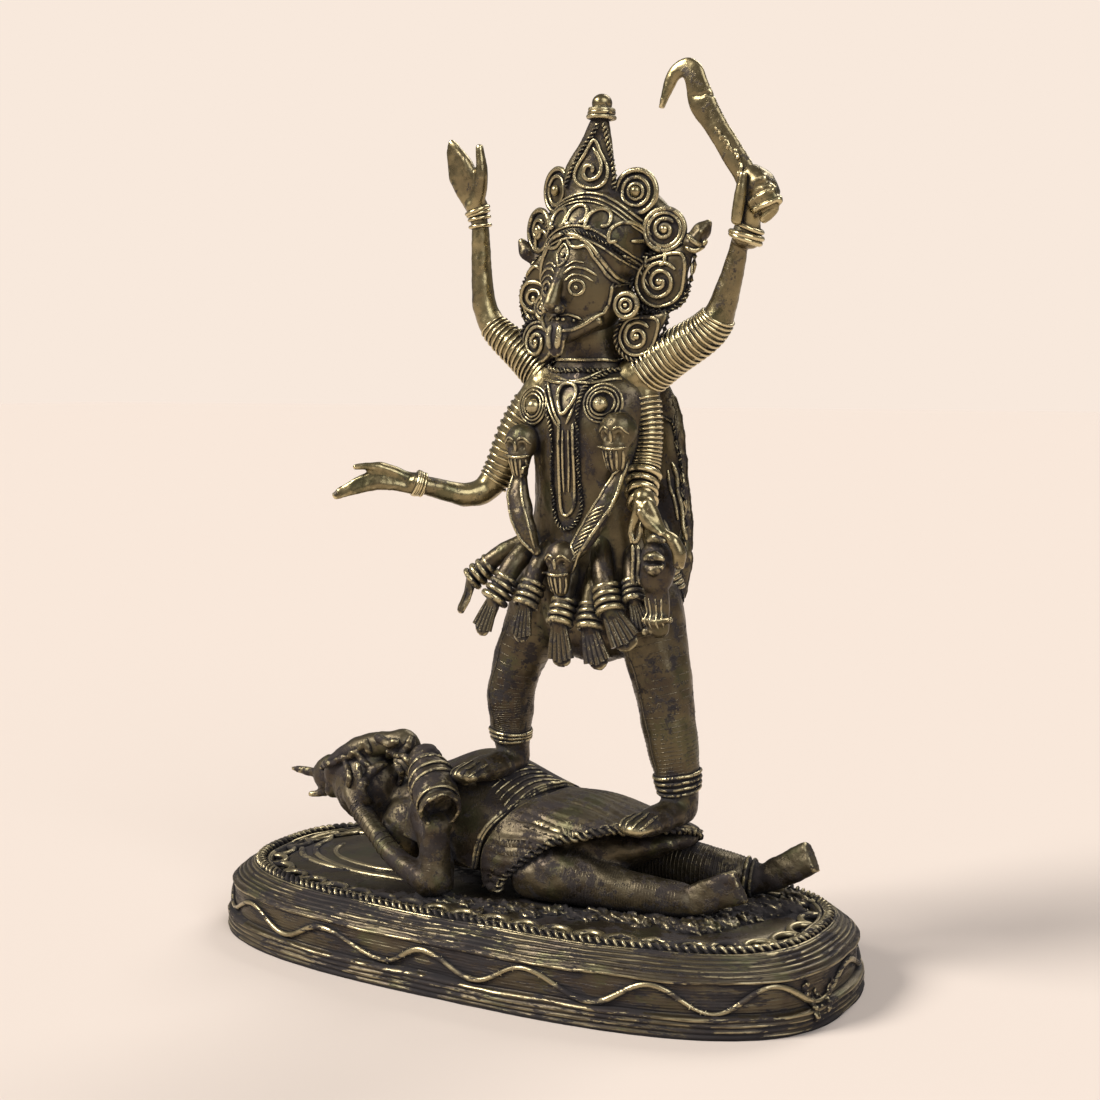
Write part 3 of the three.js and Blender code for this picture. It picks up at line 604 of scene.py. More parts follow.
darkLook = {
    **agedLook, "brass": (0.125, 0.101, 0.062, 1), "brown": (0.062, 0.047, 0.037, 1), "stainDirt": 1.2,
    "grimeShadeFrom": 0.3, "grimeShadeTo": 0.85, "crustFrom": 0.49, "crustDirt": 0.3, "wearFrom": 0.42, "wearTo": 1.15,
    "rough": 0.46,
}
# the figure's brass gets painted shade near the bottom
figureLook = {**agedLook, "lowShade": 0.3}
polishedLook = {
    **agedLook, "brass": (0.34, 0.275, 0.14, 1), "brown": (0.19, 0.15, 0.08, 1),
    "bright": (0.66, 0.55, 0.31, 1), "stainDirt": 0.5, "grimeShadeFrom": 0.5, "grimeShadeTo": 1.15,
    "crustFrom": 0.6, "grainWear": 0.5, "rough": 0.3, "bump": 0.3,
}
baseBrass = agedBrass("baseBrass", baseLook)
darkBrass = agedBrass("darkBrass", darkLook)
darkWound = agedBrass("darkWound", {**darkLook, "bright": (0.14, 0.113, 0.07, 1)})
figureBrass = agedBrass("figureBrass", figureLook)
figureWound = agedBrass("figureWound", {**figureLook, "bright": (0.16, 0.13, 0.08, 1)})
polishedBrass = agedBrass("polishedBrass", polishedLook)
print("brass mixed")

partOf = {  # the node and the slot that each brass stands for
    baseBrass: ("oval_base", "base_brass"),
    darkBrass: ("lying_man", "dark_brass"), darkWound: ("lying_man", "dark_brass"),
    figureBrass: ("standing_goddess", "figure_brass"), figureWound: ("standing_goddess", "figure_brass"),
    polishedBrass: ("standing_goddess", "figure_brass"),
}


def settle(obj, metal, replaces=False):  # a finished piece takes its brass, rides on the root and hides the part it replaces
    if not obj.data.materials:
        obj.data.materials.append(metal)
    node, slotName = partOf[metal]
    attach(obj, "root")
    if replaces:
        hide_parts(node)
    return obj


# Oval base

def ovalPoint(angle, inset, z):
    power = 2 / base["ovalPower"]
    cos, sin = math.cos(angle), math.sin(angle)
    return np.array([math.copysign(abs(cos) ** power, cos) * (base["length"] / 2 - inset) * mm,
                     math.copysign(abs(sin) ** power, sin) * (base["width"] / 2 - inset) * mm, z * mm])


def ovalAngles(count, inset=0):  # angles that space points evenly along the oval
    fineAngles = np.linspace(0, 2 * math.pi, 1441)
    path = np.array([ovalPoint(a, inset, 0) for a in fineAngles])
    lengths = np.concatenate([[0], np.cumsum(np.linalg.norm(np.diff(path, axis=0), axis=1))])
    return np.interp(np.arange(count) / count * lengths[-1], lengths, fineAngles)


def wires(startInset, startZ, endInset, endZ, count, rise, detail=5):  # rows of round wires side by side
    rows = []
    along = np.array([endInset - startInset, endZ - startZ], float)
    out = np.array([-along[1], along[0]]) / np.linalg.norm(along)
    if out[0] > 0:
        out = -out
    for number in range(count):
        for step in range(detail):
            share = step / detail
            swell = math.sin(math.pi * share) ** 0.7 * rise if 0 < share < 1 else 0
            place = np.array([startInset, startZ]) + along * (number + share) / count + out * swell
            rows.append((place[0], place[1]))
    return rows


shellLook = {"around": 480, "footWires": 4, "bevelWires": 5, "wireRise": 0.62, "striations": 9,
             "striaRise": 0.16,
            "uneven": 0.22}


def ovalShell():
    foot, top = base["foot"], base["foot"] + base["band"]
    recess, height = base["recess"], base["height"]
    bevelInset = recess + base["bevel"]
    rows = [(0.5, 0), (0.3, 0.1)]
    rows += wires(0.6, 0.2, 0.6, foot - 0.1, shellLook["footWires"], shellLook["wireRise"])
    rows += [(0.9, foot), (recess, foot + 0.1)]
    rows += wires(recess, foot + 0.3, recess, top - base["edgeWire"], shellLook["striations"],
                  shellLook["striaRise"], 3)
    rows += wires(recess, top - base["edgeWire"], recess - 0.1, top, 1, 0.9, 6)
    rows += wires(recess + 0.1, top, bevelInset, height, shellLook["bevelWires"], shellLook["wireRise"], 6)
    ropeEnd = bevelInset + base["ropeWidth"]
    rows += [(bevelInset, height - 0.2), (bevelInset + 0.6, height - 0.7), (ropeEnd - 0.6, height - 0.7)]
    rows += wires(ropeEnd - 0.4, height - 0.6, ropeEnd + 1.2, height - 0.6, 1, 1.0, 6)
    rows += [(ropeEnd + 1.3, height - 1.4), (ropeEnd + 1.9, height - 2.7), (ropeEnd + 4.4, height - 2.7),
             (ropeEnd + 5.2, height - 1.2), (ropeEnd + 6.2, height - 0.4), (ropeEnd + 8, height)]
    rows += [(ropeEnd + 8 + step * 3.2, height + 0.05) for step in range(1, 9)]
    wall = base["wall"]
    rows = [(0.9, 0)] + rows
    inner = [(wall, 0), (wall + 0.2, foot - 0.6), (wall + recess, foot + 1), (wall + recess, top - wall),
             (wall + bevelInset, height - wall - 0.6), (wall + bevelInset + 16, height - wall - 0.4)]
    angles = ovalAngles(shellLook["around"])
    outer = np.array([[ovalPoint(a, inset, z) for a in angles] for inset, z in rows])
    flat = outer.reshape(-1, 3)
    middle = np.array([0, 0, 11]) * mm
    outward = flat - middle
    outward[:, 2] *= 0.3
    outward /= np.linalg.norm(outward, axis=1, keepdims=True)
    ripple = wobble(flat * np.array([1, 1, 5]), 26 * mm, 11) * shellLook["uneven"] * mm
    ripple += wobble(flat * np.array([1, 1, 9]), 7 * mm, 12) * 0.08 * mm
    ripple = np.where(flat[:, 2] < 0.3 * mm, -abs(ripple), ripple - 0.25 * mm)
    flat += outward * ripple[:, None]
    raised = np.clip(flat[:, 2] / (4 * mm), 0, 1)
    flat[:, 2] += wobble(flat * np.array([1, 1, 3]), 30 * mm, 13) * 0.2 * mm * raised
    outer = flat.reshape(outer.shape)
    innerRings = [np.array([ovalPoint(a, inset, z) for a in angles]) for inset, z in reversed(inner)]
    return loftRings(np.concatenate([innerRings, outer]))


shell = meshObject("ovalBase", *ovalShell())
settle(shell, baseBrass, replaces=True)
baseSurface = surfaceOf(shell)
print("base lofted")


def dropOnBase(path, lift):
    out = []
    for place in path:
        hit = baseSurface.ray_cast(Vector((place[0], place[1], 0.05)), Vector((0, 0, -1)))[0]
        out.append((place[0], place[1], (hit.z if hit else base["height"] * mm) + lift * mm))
    return np.array(out)


rimLook = {
    "ropeInset": 10.8, "ropeThick": 1.75, "loops": 44, "loopInset": 14.6, "loopSpan": 10.4, "loopReach": 4.4,
    "loopRise": 0.5, "loopWire": 1.05, "waveThick": 0.85,
    "waveSwing": ((0.74, 0.88, 0.96, 1), (2.9, 3.8, 3.8, 2.9)),
}
# where the wave's troughs and crests are along the oval, and their phase
waveMarks = [(0.6342, -0.25), (0.6657, 0.25), (0.712, 0.75), (0.7372, 1.25), (0.771, 1.75), (0.8013, 2.25),
             (0.84, 2.75), (0.8725, 3.25), (0.9063, 3.75), (0.9374, 4.25), (1.6342, 14.75)]


def baseRope():
    ring = np.array([ovalPoint(a, rimLook["ropeInset"], base["height"] + 0.35) for a in ovalAngles(900, 10)])
    paths = WaxPaths().add(ring, rimLook["ropeThick"], closed=True, pitch=3.0)
    return grow("rimRope", paths, 2, baseBrass, Sides=7)


def rimLoops():
    paths = WaxPaths()
    for angle in ovalAngles(rimLook["loops"], rimLook["loopInset"]):
        centre = ovalPoint(angle, rimLook["loopInset"], base["height"] - 0.7)
        along = ovalPoint(angle + 0.01, rimLook["loopInset"], base["height"] - 0.7) - centre
        along /= np.linalg.norm(along)
        inward = np.array([-along[1], along[0], 0])
        lean, wide = rng.uniform(-0.12, 0.12), rng.uniform(0.92, 1.08)
        arch = []
        for share in np.linspace(-1, 1, 13):
            rise = math.sqrt(max(0, 1 - share * share))
            arch.append(centre + along * (share + lean * rise) * rimLook["loopSpan"] / 2 * wide * mm
                        + inward * rise * rimLook["loopReach"] * mm
                        + np.array([0, 0, rise * rimLook["loopRise"] * mm]))
        paths.add(arch, rimLook["loopWire"] * rng.uniform(0.9, 1.15), taper=False)
    for inset, thick in ((8.9, 0.5), (13.2, 0.55)):
        ring = [ovalPoint(a, inset, base["height"] + 0.05) for a in ovalAngles(400, inset)]
        paths.add(dropOnBase(ring, 0.15), thick, closed=True)
    return grow("rimLoops", paths, 1, baseBrass, Sides=8)


def waveWire():
    middle = base["foot"] + (base["band"] - base["edgeWire"]) / 2
    shares, phases = zip(*waveMarks)
    ring, thick = [], []
    for step, angle in enumerate(ovalAngles(900)):
        share = step / 900
        phase = np.interp(share if share > shares[0] else share + 1, shares, phases)
        swing = math.sin(phase * 2 * math.pi) * np.interp(share, *rimLook["waveSwing"])
        ring.append(ovalPoint(angle, base["recess"] - 0.4, middle + swing))
        thick.append(rimLook["waveThick"] * (1 + 0.12 * math.sin(share * 61) + 0.08 * math.sin(share * 173)))
    paths = WaxPaths().add(ring, thick, closed=True)
    for number in range(70):  # short nicks of wire across the wave, as cast
        spot = rng.integers(0, 880)
        side = np.array(ring[spot + 2]) - np.array(ring[spot])
        side = np.cross(side / np.linalg.norm(side), ring[spot] / np.linalg.norm(ring[spot])) * 1.0 * mm
        out = np.array([ring[spot][0], ring[spot][1] * 3, 0])
        out = out / np.linalg.norm(out) * 0.45 * mm
        paths.add([ring[spot] - side + out * 0.4, ring[spot] + out, ring[spot] + side + out * 0.4], 0.36)
    return grow("waveWire", paths, 1, baseBrass, Sides=8)


def plateSwirls():
    paths = WaxPaths()
    for line, thick in (([[339, 833], [316, 838], [304, 846], [304, 856], [322, 864], [344, 870]], 1.3),
                        ([[362, 829], [329, 840], [316, 849], [323, 859], [354, 871], [405, 880]], 1.2),
                        ([[345, 843], [336, 850], [342, 858], [372, 867], [410, 872]], 1.0)):
        paths.add(traced(baseSurface, line, -0.25), thick)
    return grow("plateSwirls", paths, 1, baseBrass, Sides=9)


for piece in (baseRope(), rimLoops(), waveWire(), plateSwirls()):
    settle(piece, baseBrass)


brazeLook = {
    "run": [[438, 896], [470, 903], [503, 908], [540, 912], [580, 915], [615, 917], [650, 920], [690, 924],
            [722, 921], [752, 917], [784, 911], [806, 904]],
    "spots": [[425, 897], [447, 899], [640, 925], [668, 915], [735, 908], [765, 903], [792, 898],
              [700, 915], [672, 928], [690, 932], [712, 930], [728, 926], [744, 922], [757, 912],
              [775, 914], [786, 906], [722, 914], [748, 904]],
}


def brazeLumps():  # rough metal run along the lying man, where he was brazed on
    shapes = []
    for place in traced(baseSurface, brazeLook["run"], 0, steps=4):
        for _ in range(2):
            x, y = place[0] + rng.normal() * 2.2 * mm, place[1] + rng.normal() * 2.4 * mm
            height = rng.uniform(0.9, 2.0)
            spot = np.array([x, y, base["height"] * mm])
            shapes.append(egg(spot, rng.uniform(1.8, 4.4) * mm, rng.uniform(1.4, 3) * mm, height * mm, 10))
    for place in traced(baseSurface, brazeLook["spots"], 0, steps=1):
        halves = [rng.uniform(low, high) * mm for low, high in ((3, 5.5), (2.4, 4), (1.8, 3))]
        shapes.append(egg(place, *halves, 12))
    return fuseWax("brazeLumps", shapes, 0.5, relax=1, dents=0.55, dentSize=2.6, seed=91)


settle(brazeLumps(), baseBrass)


def castingScar():  # a torn seam where the wave's wire ends, beside a pit
    shapes = []
    for line, wide in (([[803, 984], [807, 996], [813, 1006], [818, 1019]], 1.0),
                       ([[829, 982], [826, 994], [829, 1006]], 1.1),
                       ([[812, 990], [820, 996], [824, 1010]], 0.8)):
        for place in traced(baseSurface, line, 0.1, steps=5):
            size = wide * rng.uniform(0.6, 1.3) * mm
            shapes.append(egg(place + rng.normal(size=3) * 0.3 * mm, size, size,
                              size * rng.uniform(0.8, 1.6), 8))
    return fuseWax("castingScar", shapes, 0.4, relax=1, dents=0.3, dentSize=2, seed=93)


settle(castingScar(), baseBrass)
print("rim, wave wire and braze made")


# Lying man

def lyingLimb(stations, **options):
    return Limb(lie, lyingSize, stations, **options)


def blunted(value):  # a sine or cosine drawn out, for a blunt outline
    return math.copysign(abs(value) ** 0.6, value)


def flatFoot(heel, middle, toes, wide, thick):  # a slab of a foot with a blunt end
    rings = []
    path = smoothPath([lie(*p) for p in (heel, middle, toes)], 5)
    ways = tangents(path)
    across = np.array([0.35, 0.1, 0.93])
    for step, (place, way) in enumerate(zip(path, ways)):
        up = across - way * across.dot(way)
        up /= np.linalg.norm(up)
        side = np.cross(way, up)
        share = step / (len(path) - 1)
        half = lyingSize(wide) * (0.75 + 0.25 * math.sin(min(1, share * 1.6) * math.pi / 2))
        deep = lyingSize(thick) * (1 - 0.35 * share)
        ring = [(blunted(math.cos(a)), blunted(math.sin(a))) for a in np.arange(16) / 16 * 2 * math.pi]
        rings.append([place + up * half * x + side * deep * y for x, y in ring])
    return loftRings(rings)


def circleOf(across, up, sides=32):  # a circle of radius 1 between two directions
    turns = np.arange(sides) / sides * 2 * math.pi
    return np.outer(np.cos(turns), across) + np.outer(np.sin(turns), up)


def turnedForm(start, end, profile):  # rings of a radius at shares along an axis
    axis = end - start
    way = axis / np.linalg.norm(axis)
    across = np.cross(way, (0, 1, 0))
    across /= np.linalg.norm(across)
    circle = circleOf(across, np.cross(way, across))
    return loftRings([start + axis * share + lyingSize(radius) * circle for share, radius in profile])


lyingLimbs = {
    "chest": (lyingLimb([[-25, -0.5, 11.4, 7.6, 0.76], [-17, -0.5, 11.2, 11.2, 0.86],
                         [-8, -0.5, 11.2, 11.6, 0.88], [1, -0.5, 8.8, 10.2, 0.84], [8, -0.5, 7.4, 9, 0.84]],
                         flatAxis=(0, 0, 1)), 30),
    "lap": (lyingLimb([[4, 0.5, 8.4, 9, 0.74], [12, 1, 9, 9.4, 0.62], [19, 1.6, 10.4, 8.6, 0.4],
                       [24, 2, 11.4, 7, 0.3]], flatAxis=(0, 0, 1)), 28),
    "neck": (lyingLimb([[-37, -3, 13, 5], [-31, -2.6, 11.4, 4.6], [-24, -1.8, 11.4, 6.4]]), 20),
    "hair": (lyingLimb([[-43.4, -5, 13, 2], [-42, -6, 18, 2.3], [-36, -6, 22.2, 2.4], [-30, -5.4, 23.6, 2.2],
                        [-27, -5, 24.2, 2], [-25, -3, 20, 1.8]]), 16),
    "pin": (lyingLimb([[-48, -1.2, 14.6, 1.1, 0.7], [-53, -1.2, 14.6, 0.9, 0.8],
                       [-56.6, -1.2, 14.9, 0.5, 0.8]]), 12),
    "smallPin": (lyingLimb([[-47, -3, 11.6, 0.9], [-50.4, -3.6, 11, 0.6]]), 10),
    "cheekArm": (lyingLimb([[-37, -9, 14.6, 1.5], [-34, -10, 11.6, 1.9], [-29, -12.4, 8.8, 1.8],
                            [-22, -15.6, 5.4, 2], [-13, -18.4, 2.8, 2.7]]), 18),
    "nearArm": (lyingLimb([[-19, -8, 12, 4.4], [-15, -13, 7.4, 3.2], [-11.6, -18, 3, 3]]), 18),
    "forearm": (lyingLimb([[-11.6, -18, 2.8, 2.8], [-12, -17.8, 8, 2.5], [-11.4, -18, 13.6, 2.6]]), 18),
    "grip": (lyingLimb([[-11, -19, 13, 2.2], [-12.8, -16.6, 13.4, 2.4], [-14.8, -14.2, 15, 1.7]]), 16),
    "farArm": (lyingLimb([[-20, 9, 11, 4.4], [-12, 14, 6, 3.4], [-2, 16.4, 3.4, 3], [8, 16, 2.4, 2.6],
                          [13, 15.6, 2, 2.2]]), 18),
    "fist": (lyingLimb([[-13, -11.6, 20.4, 1.7], [-10.6, -12.4, 20.8, 1.5], [-9, -12.6, 20.4, 1.1]]), 12),
    "nearLeg": (lyingLimb([[2, -9.4, 4.4, 4.2], [8, -9, 5, 4.9], [16.4, -7.8, 4, 4], [22.7, -7, 3.4, 3.5],
                           [30.4, -5.4, 2.9, 2.9]]), 24),
    "farLeg": (lyingLimb([[7, 7.6, 5.6, 5.4], [17.7, 10, 5, 4.7], [27.8, 9.8, 4.2, 4], [36, 11.4, 3.4, 3]]),
               24),
}
drumAxis = (lie(-20.3, -9.2, 23.6), lie(-9.4, -20, 16.4))
drumProfile = [(0, 1.2), (0.02, 2.3), (0.08, 2.9), (0.17, 3), (0.24, 2.5), (0.32, 3.6), (0.5, 4), (0.72, 4),
               (0.84, 3.8), (0.89, 3.3), (0.93, 3.7), (0.985, 3.7), (1, 3.3), (0.985, 3), (0.8, 2.8),
               (0.78, 0.5)]
# soft ridges of hair and hand on his head, as places of the picture with a thickness
headRidges = [
    ([[349, 757], [356, 752], [362, 760], [368, 766]], 1.3), ([[360, 749], [366, 742], [370, 752]], 1.2),
    ([[377, 737], [384, 741], [390, 744], [398, 741]], 1.5), ([[403, 751], [409, 745], [412, 737]], 1.7),
    ([[388, 750], [394, 756], [404, 757], [410, 764]], 1.2), ([[346, 764], [350, 776], [349, 786]], 1.3),
    ([[384, 764], [374, 770], [366, 779], [361.5, 788], [364, 797], [371, 806]], 1.7),
    ([[322, 768], [327, 764], [335, 762.5], [342, 758], [346, 757]], 1.3),
    ([[386, 757], [392, 752], [399, 751]], 1.4), ([[396, 764], [402, 772], [399, 784]], 1.3),
]


def lyingBody():
    shapes = [limb.shape(sides) for limb, sides in lyingLimbs.values()]
    shapes += [
        egg(lie(-36, -3.6, 15), lyingSize(7.6), lyingSize(6.6), lyingSize(7.6)),
        egg(lie(-46.6, -1, 14.8), lyingSize(4.4), lyingSize(3.8), lyingSize(3.8)),
        egg(lie(-27.4, -5.4, 24.4), lyingSize(2.2), lyingSize(2), lyingSize(1.6)),
        egg(lie(-33.4, -6.4, 23.6), lyingSize(1.6), lyingSize(1.6), lyingSize(1.5)),
        flatFoot((29.4, -5.6, 2.2), (35, -6, 4.6), (40.6, -5.4, 7), 2.9, 1.6),
        egg(lie(-25, -6.4, 8.4), lyingSize(6), lyingSize(4.6), lyingSize(6)),
        pixelLimb([[399, 762, 2.6], [406, 765, 3], [412, 772, 2.4]], -11.5).shape(12),
        flatFoot((35.4, 11.6, 2.2), (41, 11.4, 5.2), (46.8, 11, 8.8), 2.9, 2.2),
        lyingLimb([[-34.4, -10, 20, 0.5], [-33.2, -10.8, 17.4, 0.8], [-32.8, -10.8, 13.4, 0.9],
                   [-33, -10, 9.6, 0.6]]).shape(12),
    ]
    return fuseWax("lyingMan", shapes, 0.7, relax=3, dents=0.22, dentSize=8, seed=21)


def headShapes(skin):
    shapes = []
    for line, wide in headRidges:
        path = traced(skin, line, 0.2, steps=3)
        shapes.append(Limb(placed, inMetal, [[*p, wide * (0.8 if n in (0, len(path) - 1) else 1)]
                                             for n, p in enumerate(path)], steps=2).shape(10))
    return shapes


lyingMan = lyingBody()
ridges = fuseWax("headRidges", headShapes(surfaceOf(lyingMan)), 0.45, relax=2, dents=0.15, dentSize=3,
                 seed=29)
settle(lyingMan, darkBrass, replaces=True)
settle(ridges, darkBrass)
lyingSkin = surfaceOf(lyingMan)
print("lying man fused")


def nestled(surface, path, lift):  # each point moved onto the nearest skin
    out = []
    for place in path:
        hit, normal, _, _ = surface.find_nearest(Vector(place))
        out.append(np.array(hit) + np.array(normal) * lift * mm)
    return np.array(out)


def evened(points, count):  # points at even shares of a path's length
    points = np.asarray(points, float)
    lengths = np.concatenate([[0], np.cumsum(np.linalg.norm(np.diff(points, axis=0), axis=1))])
    wanted = np.linspace(0, lengths[-1], count)
    return np.stack([np.interp(wanted, lengths, points[:, axis]) for axis in range(3)], 1)


clothLook = {
    "waist": [[-5, -12.4, 2], [-4.6, -13.2, 9], [-1, -9.6, 14.8], [3, -3, 16.8], [3.4, 4, 16.4],
              [2, 10, 12.6], [0, 13.4, 6], [-0.6, 13.4, 2]],
    "middle": [[-3.8, -12.9, 2], [-2, -13.5, 7.4], [3.2, -11.4, 12.6], [10.6, -5, 16.4], [13, 3.2, 16.4],
               [12, 10, 12.6], [8, 14.2, 6], [6, 14.6, 2]],
    "hem": [[-2.6, -12.7, 1.6], [-1.3, -13, 4.2], [0.8, -13.2, 6.2], [2.9, -13, 8.1], [5.3, -12.6, 9.9],
            [7.3, -12.2, 11.4], [9.6, -11.8, 12.3], [13, -11.4, 13.2], [16.4, -11, 14.3], [19.6, -10.4, 15],
            [23.3, -8.8, 15], [26.4, -6, 14.9], [28.4, -2, 14.2], [28.6, 4.4, 11.8], [25.4, 9.6, 9.4],
            [20, 13.4, 6], [15, 15, 2]],
    "rows": 40, "columns": 420, "folds": 27, "foldRise": 0.75, "thick": 0.9,
}


def sheetOf(curves, columns, rows):  # a grid drawn through smooth curves
    lines = [evened(smoothPath([lie(*p) for p in curve], 12), columns) for curve in curves]
    return np.stack([smoothPath([line[column] for line in lines], rows) for column in range(columns)], 1)


def normalsOf(grid):
    down, over = np.gradient(grid, axis=0), np.gradient(grid, axis=1)
    normal = np.cross(over, down)
    return normal / np.maximum(np.linalg.norm(normal, axis=2, keepdims=True), 1e-12)


def thickSheet(grid, thick):  # a closed slab with the grid as its outer face
    rows, columns = grid.shape[:2]
    inner = grid - normalsOf(grid) * thick * mm
    points = np.vstack([grid.reshape(-1, 3), inner.reshape(-1, 3)])
    start = rows * columns
    faces = []
    for row in range(rows - 1):
        for column in range(columns - 1):
            a = row * columns + column
            b, c, d = a + 1, a + columns + 1, a + columns
            faces += [(a, b, c, d), (start + d, start + c, start + b, start + a)]
    for row in range(rows - 1):
        a, d = row * columns, (row + 1) * columns
        faces += [(a, d, start + d, start + a)]
        a, d = a + columns - 1, d + columns - 1
        faces += [(d, a, start + a, start + d)]
    for column in range(columns - 1):
        faces += [(column + 1, column, start + column, start + column + 1)]
        a = (rows - 1) * columns + column
        faces += [(a, a + 1, start + a + 1, start + a)]
    return points, faces


def clothSheet():
    look = clothLook
    grid = sheetOf([look["waist"], look["middle"], look["hem"]], look["columns"], look["rows"] // 2)
    rows, columns = grid.shape[:2]
    down = np.linspace(0, 1, rows)[:, None]
    over = np.linspace(0, 1, columns)[None, :]
    sway = over + 0.006 * np.sin(down * 7 + over * 30)
    fold = np.abs(np.sin(sway * look["folds"] * math.pi)) ** 0.7
    deep = np.clip(down * 2.2, 0, 1) * (1 - 0.25 * down) * (0.7 + 0.3 * np.sin(over * 47))
    lift = fold * deep * look["foldRise"]
    grid = grid + normalsOf(grid) * (lift[:, :, None]) * mm
    return meshObject("hideCloth", *thickSheet(grid, look["thick"] + 0.8)), grid


cloth, clothGrid = clothSheet()
settle(cloth, darkBrass)

vestLook = {
    "top": [[-24, -10, 8], [-23, -8.4, 14], [-22, -3, 18.4], [-22, 3, 18.4], [-23, 8, 14], [-24, 10, 8]],
    "middle": [[-13, -12.6, 6.4], [-12.6, -11, 15.6], [-11, -3.4, 21.8], [-11, 3.4, 21.8], [-12, 9.6, 16],
               [-13, 12.2, 6.4]],
    "edge": [[-7, -13, 5], [-5.2, -13, 11], [-2.6, -10, 14.6], [1.2, -3.6, 17.8], [3.2, 3, 17.4],
             [3.6, 9, 13.2], [2.4, 12.4, 5]],
}


def vestSheet():
    grid = sheetOf([vestLook["top"], vestLook["middle"], vestLook["edge"]], 120, 14)
    return meshObject("vest", *thickSheet(grid, 1.5)), grid


vest, vestGrid = vestSheet()
settle(vest, darkBrass)


def lyingRopes():
    ropes = WaxPaths()
    hem = clothGrid[-1]
    share = np.linspace(0, 1, len(hem))
    thick = 1.7 - 0.75 * np.clip((share - 0.3) * 2.4, 0, 1)
    ropes.add(hem + np.array([0.1, -0.3, 0]) * mm, thick, taper=False, pitch=3.2)
    row = smoothPath([lie(-14, -8.6, 19.2), lie(-9.8, -7.4, 19.8), lie(-5, -6, 19.4), lie(-2, -2, 19.2)], 20)
    ropes.add(nestled(surfaceOf(vest), row, 0.5), 0.85, pitch=3.4)
    return grow("hemRopes", ropes, 2, darkBrass, Sides=9)


def lyingWires():
    wires, marks = WaxPaths(), WaxPaths()
    vestSkin = surfaceOf(vest)
    for number in range(9):  # slanted lines across the vest
        x = -13 + number * 1.5
        line = [lie(x - 2, -12, 8.5), lie(x, -9, 17), lie(x + 3, -4, 21), lie(x + 5.6, 1, 21)]
        wires.add(nestled(vestSkin, smoothPath(line, 8), 0.1), 0.42)
    wires.add(vestGrid[-1] + np.array([0.2, -0.2, 0.3]) * mm, 0.7, taper=False)
    for name, start, end, turns, thick in (("nearLeg", 0.3, 0.97, 40, 0.17), ("farLeg", 0.1, 0.95, 34, 0.27),
                                           ("cheekArm", 0.2, 0.72, 11, 0.3), ("forearm", 0.2, 0.9, 7, 0.12)):
        path = lyingLimbs[name][0].wound(start, end, turns)
        marks.add(nestled(lyingSkin, path, -0.05), thick, taper=False)
    for share in (0.94, 0.985):
        wires.add(nestled(lyingSkin, lyingLimbs["farLeg"][0].ring(share, 36, lift=0.4), 0.35), 0.6,
                  closed=True)
    drum = Limb(placed, lambda size: size * mm, [[*drumAxis[0], 6], [*drumAxis[1], 7]])
    for share, radius, thick in ((0.24, 4.7, 0.6), (0.33, 6.5, 0.4), (0.86, 6.7, 0.45)):
        place, _, across, up, _ = drum.at(share)
        wires.add(place + radius * mm * circleOf(across, up), thick, closed=True)
    for start, end in ((0.36, 0.56), (0.5, 0.74)):
        path = []
        for share in np.linspace(0, 1, 40):
            place, _, across, up, _ = drum.at(start + (end - start) * share)
            turn = share * 2.2 * math.pi + start * 9
            path.append(place + (across * math.cos(turn) + up * math.sin(turn)) * 7.3 * mm)
        wires.add(path, 0.6)
    return grow("lyingWires", wires, 1, darkBrass, Sides=7), grow("lyingMarks", marks, 1, darkWound, Sides=6)


for piece in (lyingRopes(), *lyingWires()):
    settle(piece, darkBrass)
drum = fuseWax("handDrum", [turnedForm(*drumAxis, drumProfile)], 0.4, relax=1, dents=0.25, dentSize=5,
               seed=23)
settle(drum, darkBrass)
print("lying man dressed")


# Goddess: her body, then what is cast on it

def standingLimb(stations, **options):
    return Limb(stand, standingSize, stations, **options)


def headLimb(stations, **options):
    return Limb(onHead, standingSize, stations, **options)


def faceLimb(stations, **options):
    return Limb(onVisage, standingSize, stations, **options)


legLook = {
    "right": {"hip": [-8.4, 0, 30], "knee": [-13.2, -0.8, 17], "bed": chestBed,
              "widths": [4.6, 3.6, 3.2, 2.8]},
    "left": {"hip": [8, 0, 30], "knee": [11.2, -0.4, 17.6], "bed": lapBed, "widths": [5.4, 4.1, 3.7, 2.9]},
}


def legLimbs(hip, knee, bed, widths):
    thigh, kneeHalf, calf, ankleHalf = widths
    sole = bed - np.array([0, 0, 1.6 * mm])
    ankle = sole + np.array([standingSize(0.4), standingSize(1.6), standingSize(5)])
    toes = sole + np.array([standingSize(-1.4), standingSize(-8.6), standingSize(0.9)])
    heel = sole + np.array([standingSize(0.6), standingSize(2.4), standingSize(1.4)])
    kneePlace = stand(*knee)
    shin = ankle + (kneePlace - ankle) * 0.4
    arch = heel + (toes - heel) * 0.55
    leg = Limb(placed, standingSize, [[*stand(*hip), thigh], [*kneePlace, kneeHalf], [*shin, calf],
                                      [*ankle, ankleHalf], [*heel, ankleHalf * 0.8]])
    foot = Limb(placed, standingSize, [[*heel, 2.4, 0.8], [*arch, 2.7, 0.72], [*toes, 2.6, 0.45]],
                flatAxis=(0, 0, 1))
    return leg, foot


